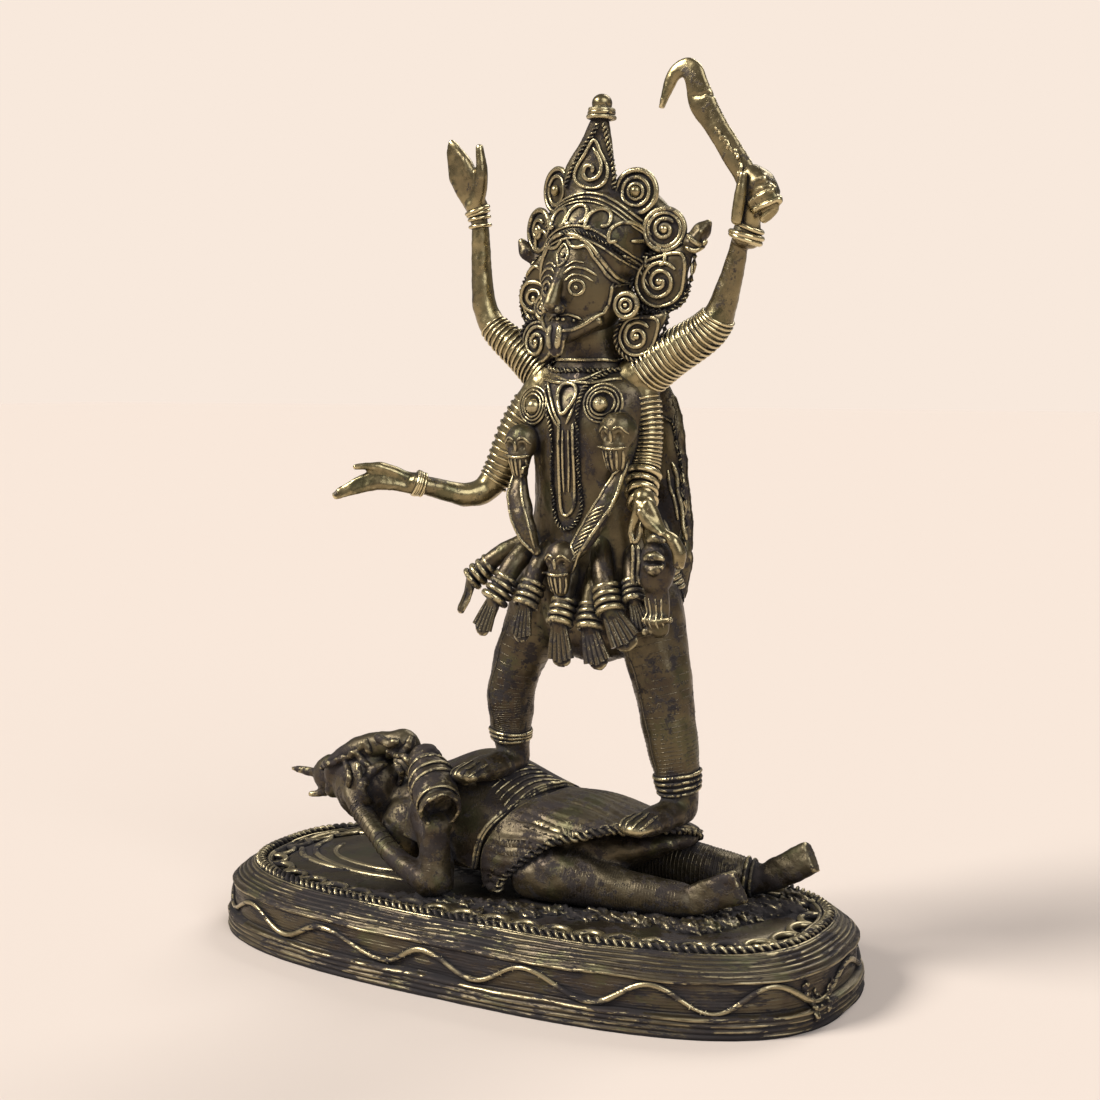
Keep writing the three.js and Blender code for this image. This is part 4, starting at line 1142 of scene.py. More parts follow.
legs = {side: legLimbs(**look) for side, look in legLook.items()}
torso = standingLimb([[0, 0.6, 28, 10.4, 0.6], [0, 0.2, 33, 11.6, 0.56], [0, -0.4, 39, 10, 0.62],
                      [0, -1, 46, 8.6, 0.7], [0, -1.4, 54, 9, 0.72], [-0.2, -0.8, 59, 9.4, 0.6],
                      [-0.2, -0.6, 63, 5.4, 0.8], [0, -0.8, 68, 4.3, 1]])
cape = standingLimb([[-0.6, 5, 64, 7, 0.42], [0, 6, 56, 10.4, 0.3], [0.2, 6.2, 46, 11.6, 0.22],
                     [0.4, 5.6, 36, 12.2, 0.24], [1, 4.6, 29, 11, 0.3]])


def goddessBody():
    shapes = [torso.shape(32), cape.shape(32)]
    for leg, foot in legs.values():
        shapes += [leg.shape(24), foot.shape(18)]
    return fuseWax("goddessBody", shapes, 1.0, relax=4, dents=0.3, seed=31)


goddess = settle(goddessBody(), figureBrass, replaces=True)
goddessSkin = surfaceOf(goddess)
print("goddess body fused")


# Arms

armLimbs = {
    "empty": standingLimb([[-6, 0, 60, 3.6], [-11, 0.2, 64, 2.8], [-16.6, 0, 68.4, 2], [-18.4, -0.3, 73, 1.7],
                           [-18.5, -0.9, 83, 1.3], [-18.9, -1.4, 86, 1.6]]),
    "giving": standingLimb([[-7, -0.6, 60, 3.4], [-11.4, -1.6, 54, 2.9], [-15.4, -2, 46.6, 2.2],
                            [-18, -4.6, 44.4, 1.8], [-22.3, -9.4, 45.8, 1.4], [-23.6, -10.8, 46.3, 1.6]]),
    "sword": standingLimb([[6, 0, 60.6, 3.4], [11.6, -0.4, 64.2, 3], [17.8, -0.8, 67.8, 2.5],
                           [20.3, -1.2, 71.8, 1.8], [22.7, -1.8, 79.6, 1.15], [23.6, -2.2, 82, 1.4]]),
    "trophy": standingLimb([[7.4, -0.6, 60, 2.6], [8.9, -1.2, 54, 1.9], [9, -2.2, 49, 1.9],
                            [9.6, -4.6, 45.4, 1.7], [12, -7.4, 42, 1.4], [13.4, -8.6, 38.8, 1.1]]),
}


def fingers(wrist, middle, tip, side, count=4, spread=(0.5, 1.0, 0.4), thick=0.85, longest=1.5):
    # fingers cast together, side by side from wrist to tip
    wrist, middle, tip, side = (np.array(p, float) for p in (wrist, middle, tip, side))
    side = side / np.linalg.norm(side)
    along = (tip - middle) / np.linalg.norm(tip - middle)
    shapes = []
    for number in range(count):
        place = number - (count - 1) / 2
        reach = tip + along * (longest - abs(place - 0.3)) * 0.6
        shapes.append(standingLimb([[*(wrist + side * place * spread[0]), thick * 0.9],
                                    [*(middle + side * place * spread[1]), thick],
                                    [*(reach + side * place * spread[2]), thick * 0.55]]).shape(10))
    return shapes


# the fist on the sword, its four fingers and the cuff: places of the picture with a thickness, at a depth
swordFist = [
    ([[751, 176, 3.8], [760, 185, 4.6], [769, 196, 3.8]], -5.6),
    ([[753, 190, 4], [752, 204, 4], [750, 222, 3.2]], -5.2),
    ([[765, 179, 1.7], [755, 184, 2.1], [747, 190, 1.5]], -8.2),
    ([[772, 189, 1.8], [761, 194, 2.2], [750, 202, 1.5]], -8.5),
    ([[779, 199, 1.6], [768, 204, 2.3], [755, 209, 1.5]], -8.6),
    ([[774, 207, 1.7], [768, 213, 1.9], [763, 220, 1.4]], -7.8),
    ([[750, 224, 3.4], [748, 229, 4.2], [746, 237, 4.3], [745.4, 239, 4.1]], -4.6),
]
fistFolds = [[[774, 184], [762, 190], [749, 197]], [[779, 194], [768, 199], [752, 206]],
             [[776, 205], [766, 210], [756, 215]]]
# the same for the hand that holds the head by its hair
trophyHand = [
    ([[643, 495, 3.2], [645, 506, 3.4], [648, 514, 2.6]], -19),
    ([[641, 503, 2.2], [637, 516, 1.6], [632, 530, 1.2], [633, 542, 1]], -22),
    ([[647, 503, 2], [656, 520, 1.8], [664, 534, 1.5], [668, 541, 1.1]], -22.4),
    ([[641, 511, 1.5], [648, 522, 1.8], [656, 529, 1.5], [661, 534, 1]], -24),
    ([[664, 533, 1.4], [673, 541, 1.9], [679, 553, 2.2], [679, 566, 1.7]], -22.4),
]


def goddessArms():
    shapes = [arm.shape(20) for arm in armLimbs.values()]
    shapes += fingers([-18.9, -1.4, 85.6], [-20.8, -2, 90.4], [-22.3, -2.3, 94.2], [0.93, -0.2, 0.37],
                      thick=0.95)
    shapes.append(standingLimb([[-18.4, -1.9, 86.4, 1.1], [-17.3, -2.4, 90, 0.95],
                                [-17.5, -2.6, 94, 0.6]]).shape(12))
    shapes += fingers([-23.4, -10.8, 46.2], [-28, -13.8, 46.8], [-33.4, -16.3, 44.6], [0.1, -0.2, -1],
                      count=3, spread=(0.9, 0.75, 0.4), thick=0.8, longest=0.8)
    shapes += fingers([-24, -11.2, 47], [-27.6, -13.8, 48.6], [-30.4, -15.6, 48.6], [0.4, 0.9, 0], count=2,
                      spread=(0.6, 0.7, 0.5), thick=0.7, longest=0.7)
    shapes += [pixelLimb(stations, depth).shape(16) for stations, depth in swordFist + trophyHand]
    made = fuseWax("goddessArms", shapes, 0.55, relax=2, dents=0.16, seed=41)
    folds = np.vstack([traced(surfaceOf(made), fold, 0, 6) for fold in fistFolds])
    return dented(made, folds, 0.9, 0.8)


arms = settle(goddessArms(), polishedBrass)

sleeveLook = {
    "empty": {"wound": (0.06, 0.42, 15, 0.34), "bracelet": (0.80, 0.93, 4, 0.62)},
    "giving": {"wound": (0.10, 0.42, 13, 0.34), "bracelet": (0.84, 0.97, 4, 0.62)},
    "sword": {"wound": (0.08, 0.5, 19, 0.42), "bracelet": (0.2, 0.95, 3, 0.75)},
    "trophy": {"wound": (0.06, 0.42, 16, 0.38), "bracelet": (0.45, 0.66, 4, 1.15)},
}


def armWires():
    paths = WaxPaths()
    for name, look in sleeveLook.items():
        arm = armLimbs[name]
        start, end, turns, thick = look["wound"]
        paths.add(arm.wound(start, end, turns, lift=0.15), thick * 1.25)
        start, end, count, thick = look["bracelet"]
        cuff = pixelLimb(*swordFist[-1]) if name == "sword" else arm
        for share in np.linspace(start, end, count):
            paths.add(cuff.ring(share, 28, lift=0.35, slant=0.2), thick * rng.uniform(0.9, 1.15), closed=True)
    return grow("armWires", paths, 1, polishedBrass, Sides=8)


settle(armWires(), polishedBrass)
print("arms and bracelets made")


# Sickle sword and its guard

swordLook = {
    "outer": [[25.5, 87.6], [24.5, 89.5], [23.1, 91.5], [21.6, 93.8], [20.1, 96.2], [18.6, 99.3],
              [17.3, 102.2], [15.3, 103.5], [13.1, 102.7], [11.8, 100.6], [11.1, 97.1]],
    "inner": [[23, 85.6], [21.9, 87.4], [20.9, 89], [19, 92], [17.7, 93.9], [16.2, 95.8], [15.3, 97.8],
              [15.2, 99.6], [14.8, 100.8], [13.9, 100.7], [13, 99.3], [11.7, 97.1]],
    "depth": -2.8, "halfThick": 1.5, "edge": 0.3,
    "tear": [[716, 128], [721, 136], [727, 143], [731, 149], [738, 157], [740, 163], [740.5, 172]],
    "crack": [[694, 95], [700, 96], [706, 93], [714, 95]],
}


def swordBlade():
    sides = []
    for name in ("outer", "inner"):
        side = smoothPath([stand(x, swordLook["depth"], z) for x, z in swordLook[name]], 12)
        sides.append(evened(side, 70))
    edge, rise = swordLook["edge"], swordLook["halfThick"] - swordLook["edge"]
    front = np.array([0, -1, 0])
    shares = [0, 0.08, 0.3, 0.5, 0.7, 0.92, 1]
    rings = []
    for one, other in zip(*sides):
        ring = []
        for way, order in ((1, shares), (-1, shares[::-1])):
            for share in order:
                swell = edge + rise * math.sin(math.pi * share) ** 0.5
                ring.append(one + (other - one) * share + front * way * swell * mm)
        rings.append(ring)
    guard = pixelLimb([[743, 174, 1.4], [740, 198, 1.85], [736, 221, 1.7]], -10.6)
    shapes = [loftRings(rings), guard.shape(10)]
    made = fuseWax("sickleSword", shapes, 0.45, relax=2, dents=0.09, dentSize=9, seed=61)
    return dented(made, traced(surfaceOf(made), swordLook["crack"], steps=4), 0.7, 0.45)


def bladeTear():  # the rough torn ridge on the blade's lower half
    shapes = []
    for place in traced(surfaceOf(blade), swordLook["tear"], 0, steps=6, depth=-9):
        size = rng.uniform(0.35, 0.85) * mm
        shapes.append(egg(place + rng.normal(size=3) * 0.25 * mm, size, size * 0.8, size * 1.5, 8))
    return fuseWax("bladeTear", shapes, 0.3, relax=1, dents=0.2, dentSize=2, seed=63)


blade = swordBlade()
settle(bladeTear(), polishedBrass)
settle(blade, polishedBrass)
print("sword made")


# Head and crown

# the discs at her head: middle, radius, turn, drawn-out tail, rope at the edge, coil, rings and boss
coilLook = [
    {"at": [6.0, -1.8, 86.4], "radius": 2.9, "turn": 12, "coils": 0, "rings": [0.66, 0.36], "boss": 0.8},
    {"at": [-6.8, -1.8, 87.3], "radius": 3.0, "turn": -24, "coils": 0, "rings": [0.66], "boss": 0.8},
    {"at": [10.2, -0.8, 81.2], "radius": 2.8, "turn": 18, "coils": 1.5, "rings": [0.8], "boss": 0.6},
    {"at": [-10.2, -0.8, 82], "radius": 2.9, "turn": -26, "coils": 1.3, "rings": [], "boss": 0.6},
    {"at": [10, -0.8, 74.2], "radius": 4.2, "turn": 12, "tail": [4.6, 4.8], "rope": True, "coils": 2.0,
     "boss": 0.6},
    {"at": [-10.2, -0.8, 72.4], "radius": 3.9, "turn": -22, "tail": [1.6, 6.2], "rope": True, "coils": 1.8,
     "boss": 0.6},
    {"at": [7.9, -2.4, 66.8], "radius": 3.2, "turn": 10, "tail": [4.2, 3], "rope": True, "coils": 1.6,
     "boss": 0.5},
    {"at": [-8.3, -2.6, 66.2], "radius": 3.6, "turn": -12, "tail": [4.6, -1.6], "rope": True, "coils": 1.8,
     "boss": 0.6},
    {"at": [6.9, -4.2, 71], "radius": 1.6, "turn": 10, "coils": 0, "rings": [0.5], "boss": 0.4},
    {"at": [-6.6, -4.2, 71], "radius": 1.6, "turn": -20, "coils": 0, "rings": [0.5], "boss": 0.4},
]


def coilFrame(look):
    turn = math.radians(look["turn"] + headPose["turn"])
    across = np.array([math.cos(turn), math.sin(turn), 0])
    return onHead(*look["at"]), across, np.array([0, 0, 1.0]), np.array([math.sin(turn), -math.cos(turn), 0])


def coilOutline(look, scale=1.0):  # a circle, drawn out to its tail if it has one
    place, across, up, _ = coilFrame(look)
    radius = look["radius"] * scale
    if "tail" not in look:
        turns = np.linspace(0, 2 * math.pi, 40, endpoint=False)
        flat = [(radius * math.cos(a), radius * math.sin(a)) for a in turns]
    else:
        tail = np.array(look["tail"]) * (scale if scale > 0.9 else scale * 0.92)
        way = math.atan2(tail[1], tail[0])
        corners = [tuple(tail)] + [(radius * math.cos(way + a), radius * math.sin(way + a))
                                   for a in np.radians([55, 95, 140, 180, 220, 265, 305])]
        flat = smoothPath([(*corner, 0) for corner in corners], 6, closed=True)[:, :2]
    return np.array([place + (across * x + up * z) * figureHeight / 100 * mm for x, z in flat])


def goddessHead():
    shapes = [
        faceLimb([[0, -1.6, 67.2, 3.2, 0.9], [0, -2.1, 70.6, 5.7, 0.95], [0, -1.8, 75.2, 6.5, 0.95],
                  [0, -1.2, 80, 6, 0.95]]).shape(28),
        headLimb([[0, -0.8, 78, 7.4, 0.96], [0, -0.9, 82, 7.4, 0.9], [0, -1, 85.4, 5.6, 0.8],
                  [0, -1, 87.6, 2.4, 0.8]]).shape(28),
        headLimb([[-0.9, -3.2, 85.8, 3.6, 0.3], [-0.8, -3.1, 89, 4.1, 0.24], [-0.2, -2.9, 93, 2.6, 0.32],
                  [0.2, -2.7, 97, 1.1, 0.8]]).shape(20),
        faceLimb([[0, -6.9, 77, 0.9], [0, -8.5, 74, 0.9], [0, -9.6, 71, 1.15]]).shape(12),
        faceLimb([[-1, -8.6, 70.6, 0.75], [1, -8.6, 70.6, 0.75]]).shape(10),
        faceLimb([[0.2, -6.4, 69, 1.4, 0.7], [0.4, -8.4, 67.3, 1.6, 0.42],
                  [0.5, -8.6, 64.8, 1.2, 0.42]]).shape(14),
        faceLimb([[-4.6, -4.8, 69, 0.9], [0, -6.8, 67, 1.3], [4.6, -4.8, 69, 0.9]]).shape(12),
        pixelLimb([[684, 241, 1.6], [694, 238, 2.4], [703, 230, 2.8], [709, 223, 1.2]], -0.9).shape(14),
    ]
    for side in (-1, 1):
        shapes.append(headLimb([[side * 5, 0.8, 86, 2.4, 0.7], [side * 9.2, 0.8, 81, 2.4, 0.6],
                                [side * 9.8, 0.6, 74, 2.4, 0.6], [side * 6, 0.6, 67, 2.4, 0.6]]).shape(14))
        reach = 1 if side > 0 else 0.88
        shapes.append(headLimb([[side * 9, 0.6, 78, 1.3], [side * 13 * reach, 0.1, 78.2, 0.9],
                                [side * 14.4 * reach, -0.2, 79.2, 1.3],
                                [side * 15.6 * reach, -0.4, 80.8, 0.5]]).shape(12))
    for look in coilLook:
        place, across, up, out = coilFrame(look)
        half = standingSize(look["radius"])
        shapes.append(dish(place - out * 0.5 * mm, across, up, out, half, half, 1.1 * mm))
        if "tail" in look:
            x, z = look["tail"]
            shapes.append(Limb(placed, standingSize, [
                [*(place - out * 0.4 * mm), look["radius"] * 0.8, 0.16],
                [*(place + (across * x + up * z) * 0.55 * figureHeight / 100 * mm), look["radius"] * 0.5,
                 0.3],
                [*(place + (across * x + up * z) * 0.98 * figureHeight / 100 * mm), 0.5, 0.8]]).shape(12))
    return fuseWax("goddessHead", shapes, 0.6, relax=2, dents=0.12, seed=51)


head = settle(goddessHead(), figureBrass)
headSkin = surfaceOf(head)
print("head fused")


def onFace(x, z, lift=0.0, pose=onVisage):  # a place on the face, from its middle line
    start = pose(x, -16, z)
    way = pose(x, 0, z) - start
    hit, normal, _, _ = headSkin.ray_cast(Vector(start), Vector(way / np.linalg.norm(way)))
    return np.array(hit) + np.array(normal) * lift * mm if hit else pose(x, -4, z)


def faceLine(points, lift=0.1, steps=6, closed=False, side=1, pose=onVisage):
    return [onFace(side * x, z, lift, pose) for x, z,
            _ in smoothPath([(*p, 0) for p in points], steps, closed)]


def ringOn(x, z, radius, count=20, lift=0.1):
    return [onFace(x + radius * math.cos(a), z + radius * math.sin(a), lift)
            for a in np.linspace(0, 2 * math.pi, count, endpoint=False)]


# the face's lines on each half, each with a lift and a thickness, and the places of its other marks
faceLook = {
    "lines": [
        ([[0.9, 74.3], [1.9, 75.1], [3.2, 75], [4.4, 74.2]], 0.1, 0.36),
        ([[0.7, 75.3], [1.9, 76.1], [3.4, 75.9], [4.7, 75]], 0.1, 0.45),
        ([[0.8, 76.2], [2, 76.9], [3.2, 76.7]], 0.1, 0.34),
        ([[0.3, 80.7], [2.3, 80.2], [4.3, 78.5], [5.6, 76], [6.7, 73.6]], 0.3, 0.75),
        ([[0.4, 80], [1.2, 79], [2.3, 78.8], [3.4, 78.9], [4.3, 77.5], [5.4, 75.4], [6.5, 73.5]], 0.3, 0.6),
        ([[6, 74], [5.6, 71.4], [4.6, 69.4], [2.8, 68], [1.4, 67.5]], 0.2, 0.65),
        ([[0.2, 69.6], [1.2, 69.8], [2.2, 69.5], [2.9, 69]], 0.2, 0.45),
    ],
    "eye": (2.5, 73.4), "eyeRing": 0.98, "thirdEye": [[0, 79.3], [-0.9, 77.9], [0, 76.3], [0.9, 77.9]],
    "tongue": (-0.35, 1.15), "teeth": 6,
}


def faceWires():
    paths = WaxPaths()
    eye, height = faceLook["eye"]
    for side in (-1, 1):
        paths.add(ringOn(side * eye, height, faceLook["eyeRing"]), 0.55, closed=True)
        for line, lift, thick in faceLook["lines"]:
            paths.add(faceLine(line, lift, side=side), thick)
    paths.add(faceLine(faceLook["thirdEye"], closed=True), 0.5, closed=True)
    for across in faceLook["tongue"]:
        paths.add(faceLine([[across * 0.9, 68.3], [across, 66.8], [across * 0.7 + 0.15, 65.2]], 0.1), 0.95)
    return grow("faceWires", paths, 1, figureBrass, Sides=8)


def faceBeads():
    beads = WaxPaths()
    eye, height = faceLook["eye"]
    for side in (-1, 1):  # nostrils and pupils
        beads.bead(onFace(side, 70.5, 0.3), 1.1)
        beads.bead(onFace(side * eye, height, 0.1), 0.8)
    beads.bead(onFace(0, 77.8, 0.2), 0.8)
    middle = (faceLook["teeth"] - 1) / 2
    for number in range(faceLook["teeth"]):
        beads.bead(onFace((number - middle) * 0.7, 68.9 + 0.25 * (1 - abs(number - middle) / 3), 0.3), 0.66)
    return grow("faceBeads", beads, "beads", figureBrass, Segments=10, Height=1.0)


for piece in (faceWires(), faceBeads()):
    settle(piece, figureBrass)


def pressed(path, out, lift):  # pushed back onto the head from the front
    made = []
    for place in path:
        hit = headSkin.ray_cast(Vector(place + out * 5 * mm), Vector(-out), 9 * mm)[0]
        made.append((np.array(hit) if hit else place) + out * lift * mm)
    return np.array(made)


# how far the crown's bands and arches sink towards her right and her left
crownDrop = {"top": (3.6, 6.2), "low": (4.4, 7), "arches": (2.6, 5.6)}


def crownBand(height, reach, drops):  # a line round the crown's front that sinks to both sides
    return [[x, height - (x / 9) ** 2 * drops[int(x > 0)]] for x in np.linspace(-reach, reach, 9)]


def crownWires():
    wires, ropes = WaxPaths(), WaxPaths()
    for look in coilLook:
        place, across, up, out = coilFrame(look)
        outline = coilOutline(look) + out * 0.3 * mm
        if look.get("rope"):
            ropes.add(outline, 0.95, closed=True, pitch=3.4)
            wires.add(pressed(coilOutline(look, 0.8), out, 0.3), 0.62, closed=True)
        else:
            wires.add(outline, 0.85, closed=True)
        for share in look.get("rings", []):
            wires.add(pressed(coilOutline({**look, "radius": look["radius"] * share}), out, 0.3), 0.66,
                      closed=True)
        if look["coils"]:
            spiral = []
            start = 0.66 if look.get("rope") else 0.56
            for share in np.linspace(0, 1, int(30 * look["coils"]) + 8):
                angle = share * look["coils"] * 2 * math.pi + 0.6
                reach = look["radius"] * (start - (start - 0.12) * share) * figureHeight / 100 * mm
                spiral.append(place + (across * math.cos(angle) + up * math.sin(angle)) * reach
                              + out * 1.0 * mm)
            wires.add(pressed(spiral, out, 0.3), 0.74)
    out = coilFrame({"at": [0, 0, 0], "turn": 0})[3]
    for edge in ([[566, 188], [568, 180], [574, 166], [583, 149], [592, 136], [599, 123]],
                 [[613.5, 189], [615, 180], [613.5, 166], [610, 149], [607, 136], [604, 123]]):
        ropes.add(pressed(traced(headSkin, edge, 0, 6, -8), out, 0.35), 0.95, pitch=3.2)
    inner = [[594.5, 140], [585, 155], [577, 168], [575.5, 179], [584, 187], [597, 188], [606, 181],
             [608, 168], [601, 152]]
    wires.add(pressed(traced(headSkin, inner, 0, 6, -8, closed=True), out, 0.3), 0.6, closed=True)
    curl = [[594, 148], [600, 158], [602, 168], [598, 177], [589, 180], [584, 174], [587, 166], [593, 167],
            [593, 173]]
    wires.add(pressed(traced(headSkin, curl, 0, 6, -8), out, 0.35), 0.72)
    for wrap in ([[686, 247], [694, 250], [702, 246], [707, 240]], [[688, 236], [696, 243], [704, 246]]):
        wires.add(traced(headSkin, wrap, 0.3, 5, -3), 0.8)
    for number in range(7):
        x = -9.3 + number * 3.1
        z = 83.2 - (x / 9.3) ** 2 * crownDrop["arches"][int(x > 0)]
        arch = [[x - 0.6, z - 1.1], [x - 1.4, z - 1.2], [x - 1.4, z + 0.3], [x - 0.6, z + 1.2],
                [x + 0.5, z + 1.2], [x + 1.3, z + 0.3], [x + 1.3, z - 0.9], [x + 0.5, z - 1.1]]
        wires.add(faceLine(arch, 0.4, pose=onHead), 0.68)
    for height, thick in ((86.2, 0.55), (85.6, 0.42), (85.05, 0.36), (81.7, 0.42), (80.1, 0.4)):
        band = crownBand(height, 8.6, crownDrop["top" if height > 83 else "low"])
        wires.add(faceLine(band, 0.3, pose=onHead), thick)
    ropes.add(faceLine(crownBand(80.9, 8.2, crownDrop["low"]), 0.25, pose=onHead), 0.85, pitch=3.0)
    knob = Limb(onHead, standingSize, [[0.2, -2.6, 96, 1.4], [0.2, -2.6, 100, 1.4]])
    for share, thick, lift in ((0.16, 0.7, 0.9), (0.4, 0.75, 0.4)):
        wires.add(knob.ring(share, 20, lift=lift), thick, closed=True)
    return grow("crownWires", wires, 1, figureBrass, Sides=8), grow("crownRopes", ropes, 2, figureBrass,
                                                                    Sides=6)


for piece in crownWires():
    settle(piece, figureBrass)


def crownKnob():
    shapes = [egg(onHead(0.2, -2.6, 97.2), standingSize(2.0), standingSize(2.0), standingSize(0.8)),
              egg(onHead(0.2, -2.6, 98.5), standingSize(1.42), standingSize(1.42), standingSize(1.3))]
    for look in coilLook:
        place, across, up, out = coilFrame(look)
        half = standingSize(look["boss"])
        shapes.append(dish(place + out * 1.1 * mm, across, up, out, half, half, half * 0.8, 14))
    return fuseWax("crownKnobs", shapes, 0.4, relax=1, dents=0.05)


settle(crownKnob(), polishedBrass)
print("face and crown wired")


# Chest, necklace and garland of heads

skulls = ((-8, -6.6, 51.4, 2.5, 4), (7.2, -6.8, 53, 2.7, 4.4), (0, -9.6, 35.6, 2.4, 4))


def skullShapes(x, y, z, wide, tall):
    return [
        egg(stand(x, y, z + tall * 0.25), standingSize(wide), standingSize(wide * 0.9),
            standingSize(tall * 0.62)),
        standingLimb([[x, y - wide * 0.3, z - tall * 0.2, wide * 0.72, 0.8],
                      [x, y - wide * 0.2, z - tall * 0.85, wide * 0.5, 0.8]]).shape(14),
    ]


# the held head's lips, brow, cut neck and torn ends: places of the picture with a thickness, at a depth
trophyLips = [
    ([[645, 559, 0.9], [654, 556.5, 1.7], [663, 559, 0.9]], -25.2),
    ([[646, 567, 0.9], [654, 570, 1.9], [662, 566, 0.9]], -25.2),
    ([[648, 541, 0.9], [656, 538, 1.5], [665, 541, 0.9]], -24),
    ([[643, 620, 0.9], [655, 622, 1.4], [671, 620, 1.2]], -22.4),
    ([[645, 633, 1.3], [646, 630, 1.2]], -21.6),
    ([[652, 631, 1.3], [653, 628, 1.2]], -21.6),
    ([[659, 629, 1.2], [660, 626, 1.2]], -21.6),
]


leaves = [
    [[8.2, -6.4, 50, 0.6, 0.7], [6, -8, 44.4, 1.4, 0.7], [3, -9, 39, 1.4, 0.7], [0.6, -9.2, 35.6, 0.8, 0.7]],
    [[-8.6, -6, 49, 0.6, 0.7], [-8, -7.6, 44.6, 1.6, 0.7], [-6.4, -8.4, 40, 1.6, 0.7],
     [-5, -8, 37, 0.7, 0.7]],
]


def garlandForms():
    shapes = [shape for skull in skulls for shape in skullShapes(*skull)]
    shapes += [standingLimb(leaf).shape(14) for leaf in leaves]
    shapes += [egg(stand(14.2, -9, 36), standingSize(2.5), standingSize(2.6), standingSize(4.2)),
               standingLimb([[14.2, -9, 33, 1.8, 0.8], [14.6, -9.2, 27.6, 1.6, 0.6]]).shape(14)]
    shapes += [pixelLimb(stations, depth).shape(12) for stations, depth in trophyLips]
    return fuseWax("garlandHeads", shapes, 0.55, relax=2, dents=0.2, seed=71)


garland = settle(garlandForms(), figureBrass)


def onSkull(skull, points, lift=0.1, steps=5,
            closed=False):  # a line on a skull, in shares of its width and height
    x, y, z, wide, tall = skull
    made = []
    for across, high, _ in smoothPath([(*p, 0) for p in points], steps, closed):
        start = stand(x + across * wide, y - 8, z + high * tall)
        hit, normal, _, _ = garlandSkin.ray_cast(Vector(start), Vector((0, 1, 0)))
        behind = stand(x + across * wide, y - 2, z + high * tall)
        made.append(np.array(hit) + np.array(normal) * lift * mm if hit else behind)
    return made


garlandSkin = surfaceOf(garland)
dented(garland, [onSkull(skull, [(side * 0.42, 0.08), (side * 0.46, 0.0)], 0)[0] for skull in skulls
                 for side in (-1, 1)],
       1.5, 1.1)
dented(garland, traced(garlandSkin, [[645, 563], [663, 563]], 0, 12), 0.7, 1.3)
garlandSkin = surfaceOf(garland)


def skullWires():
    wires = WaxPaths()
    for skull in skulls:
        for side in (-1, 1):
            wires.add(onSkull(skull, [(side * 0.12, 0.3), (side * 0.45, 0.38), (side * 0.8, 0.16)]), 0.4)
        wires.add(onSkull(skull, [(0, 0.25), (0, -0.1)]), 0.55)
        wires.add(onSkull(skull, [(-0.8, -0.24), (0, -0.3), (0.8, -0.24)]), 0.5)
        for across in (-0.54, -0.27, 0, 0.27, 0.54):
            wires.add(onSkull(skull, [(across, -0.36), (across * 0.9, -0.66), (across * 0.7, -0.95)]), 0.48)
    for line, thick in (([[633, 545], [634, 560], [633, 575], [634, 584]], 0.8),
                        ([[638, 545], [640, 560], [639, 575], [640, 584]], 0.7),
                        ([[634, 517], [631, 530], [635, 542], [640, 535], [641, 522]], 0.7)):
        wires.add(traced(garlandSkin, line, 0.2, depth=-23), thick)
    for edge, thick in (([[8.4, -6.8, 49.8], [7.2, -8, 45], [4.2, -9.4, 39.6], [1, -9.8, 35]], 0.6),
                        ([[7.6, -7.4, 49.6], [5.2, -8.6, 44.6], [2.2, -9.4, 39.4], [0.6, -9.6, 36]], 0.45),
                        ([[-8.8, -6.6, 49], [-9.2, -8, 44.6], [-7.4, -9.2, 39.6], [-5, -8.8, 36.8]], 0.6),
                        ([[-8, -7.2, 49], [-7, -8.6, 44.6], [-5.6, -9, 40.4], [-4.8, -8.8, 37.6]], 0.45)):
        wires.add(nestled(garlandSkin, smoothPath([stand(*p) for p in edge], 8), 0.1), thick)
    for number in range(11):  # slanted nicks on the right leaf
        share = 0.3 + number * 0.055
        x, y, z = np.array([6.9, -8.6, 47]) * (1 - share) + np.array([1.6, -10.4, 35.4]) * share
        nick = [stand(x - 1, y, z - 0.6), stand(x, y, z), stand(x + 1.1, y, z + 0.5)]
        wires.add(nestled(garlandSkin, nick, 0.1), 0.34)
    for x in (12.9, 13.7, 14.6, 15.4):
        lock = smoothPath([stand(x, -10, 32), stand(x + 0.2, -10.4, 30), stand(x + 0.5, -10.2, 28)], 5)
        wires.add(nestled(garlandSkin, lock, 0.0), 0.4)
    return grow("skullWires", wires, 1, figureBrass, Sides=7)


settle(skullWires(), figureBrass)


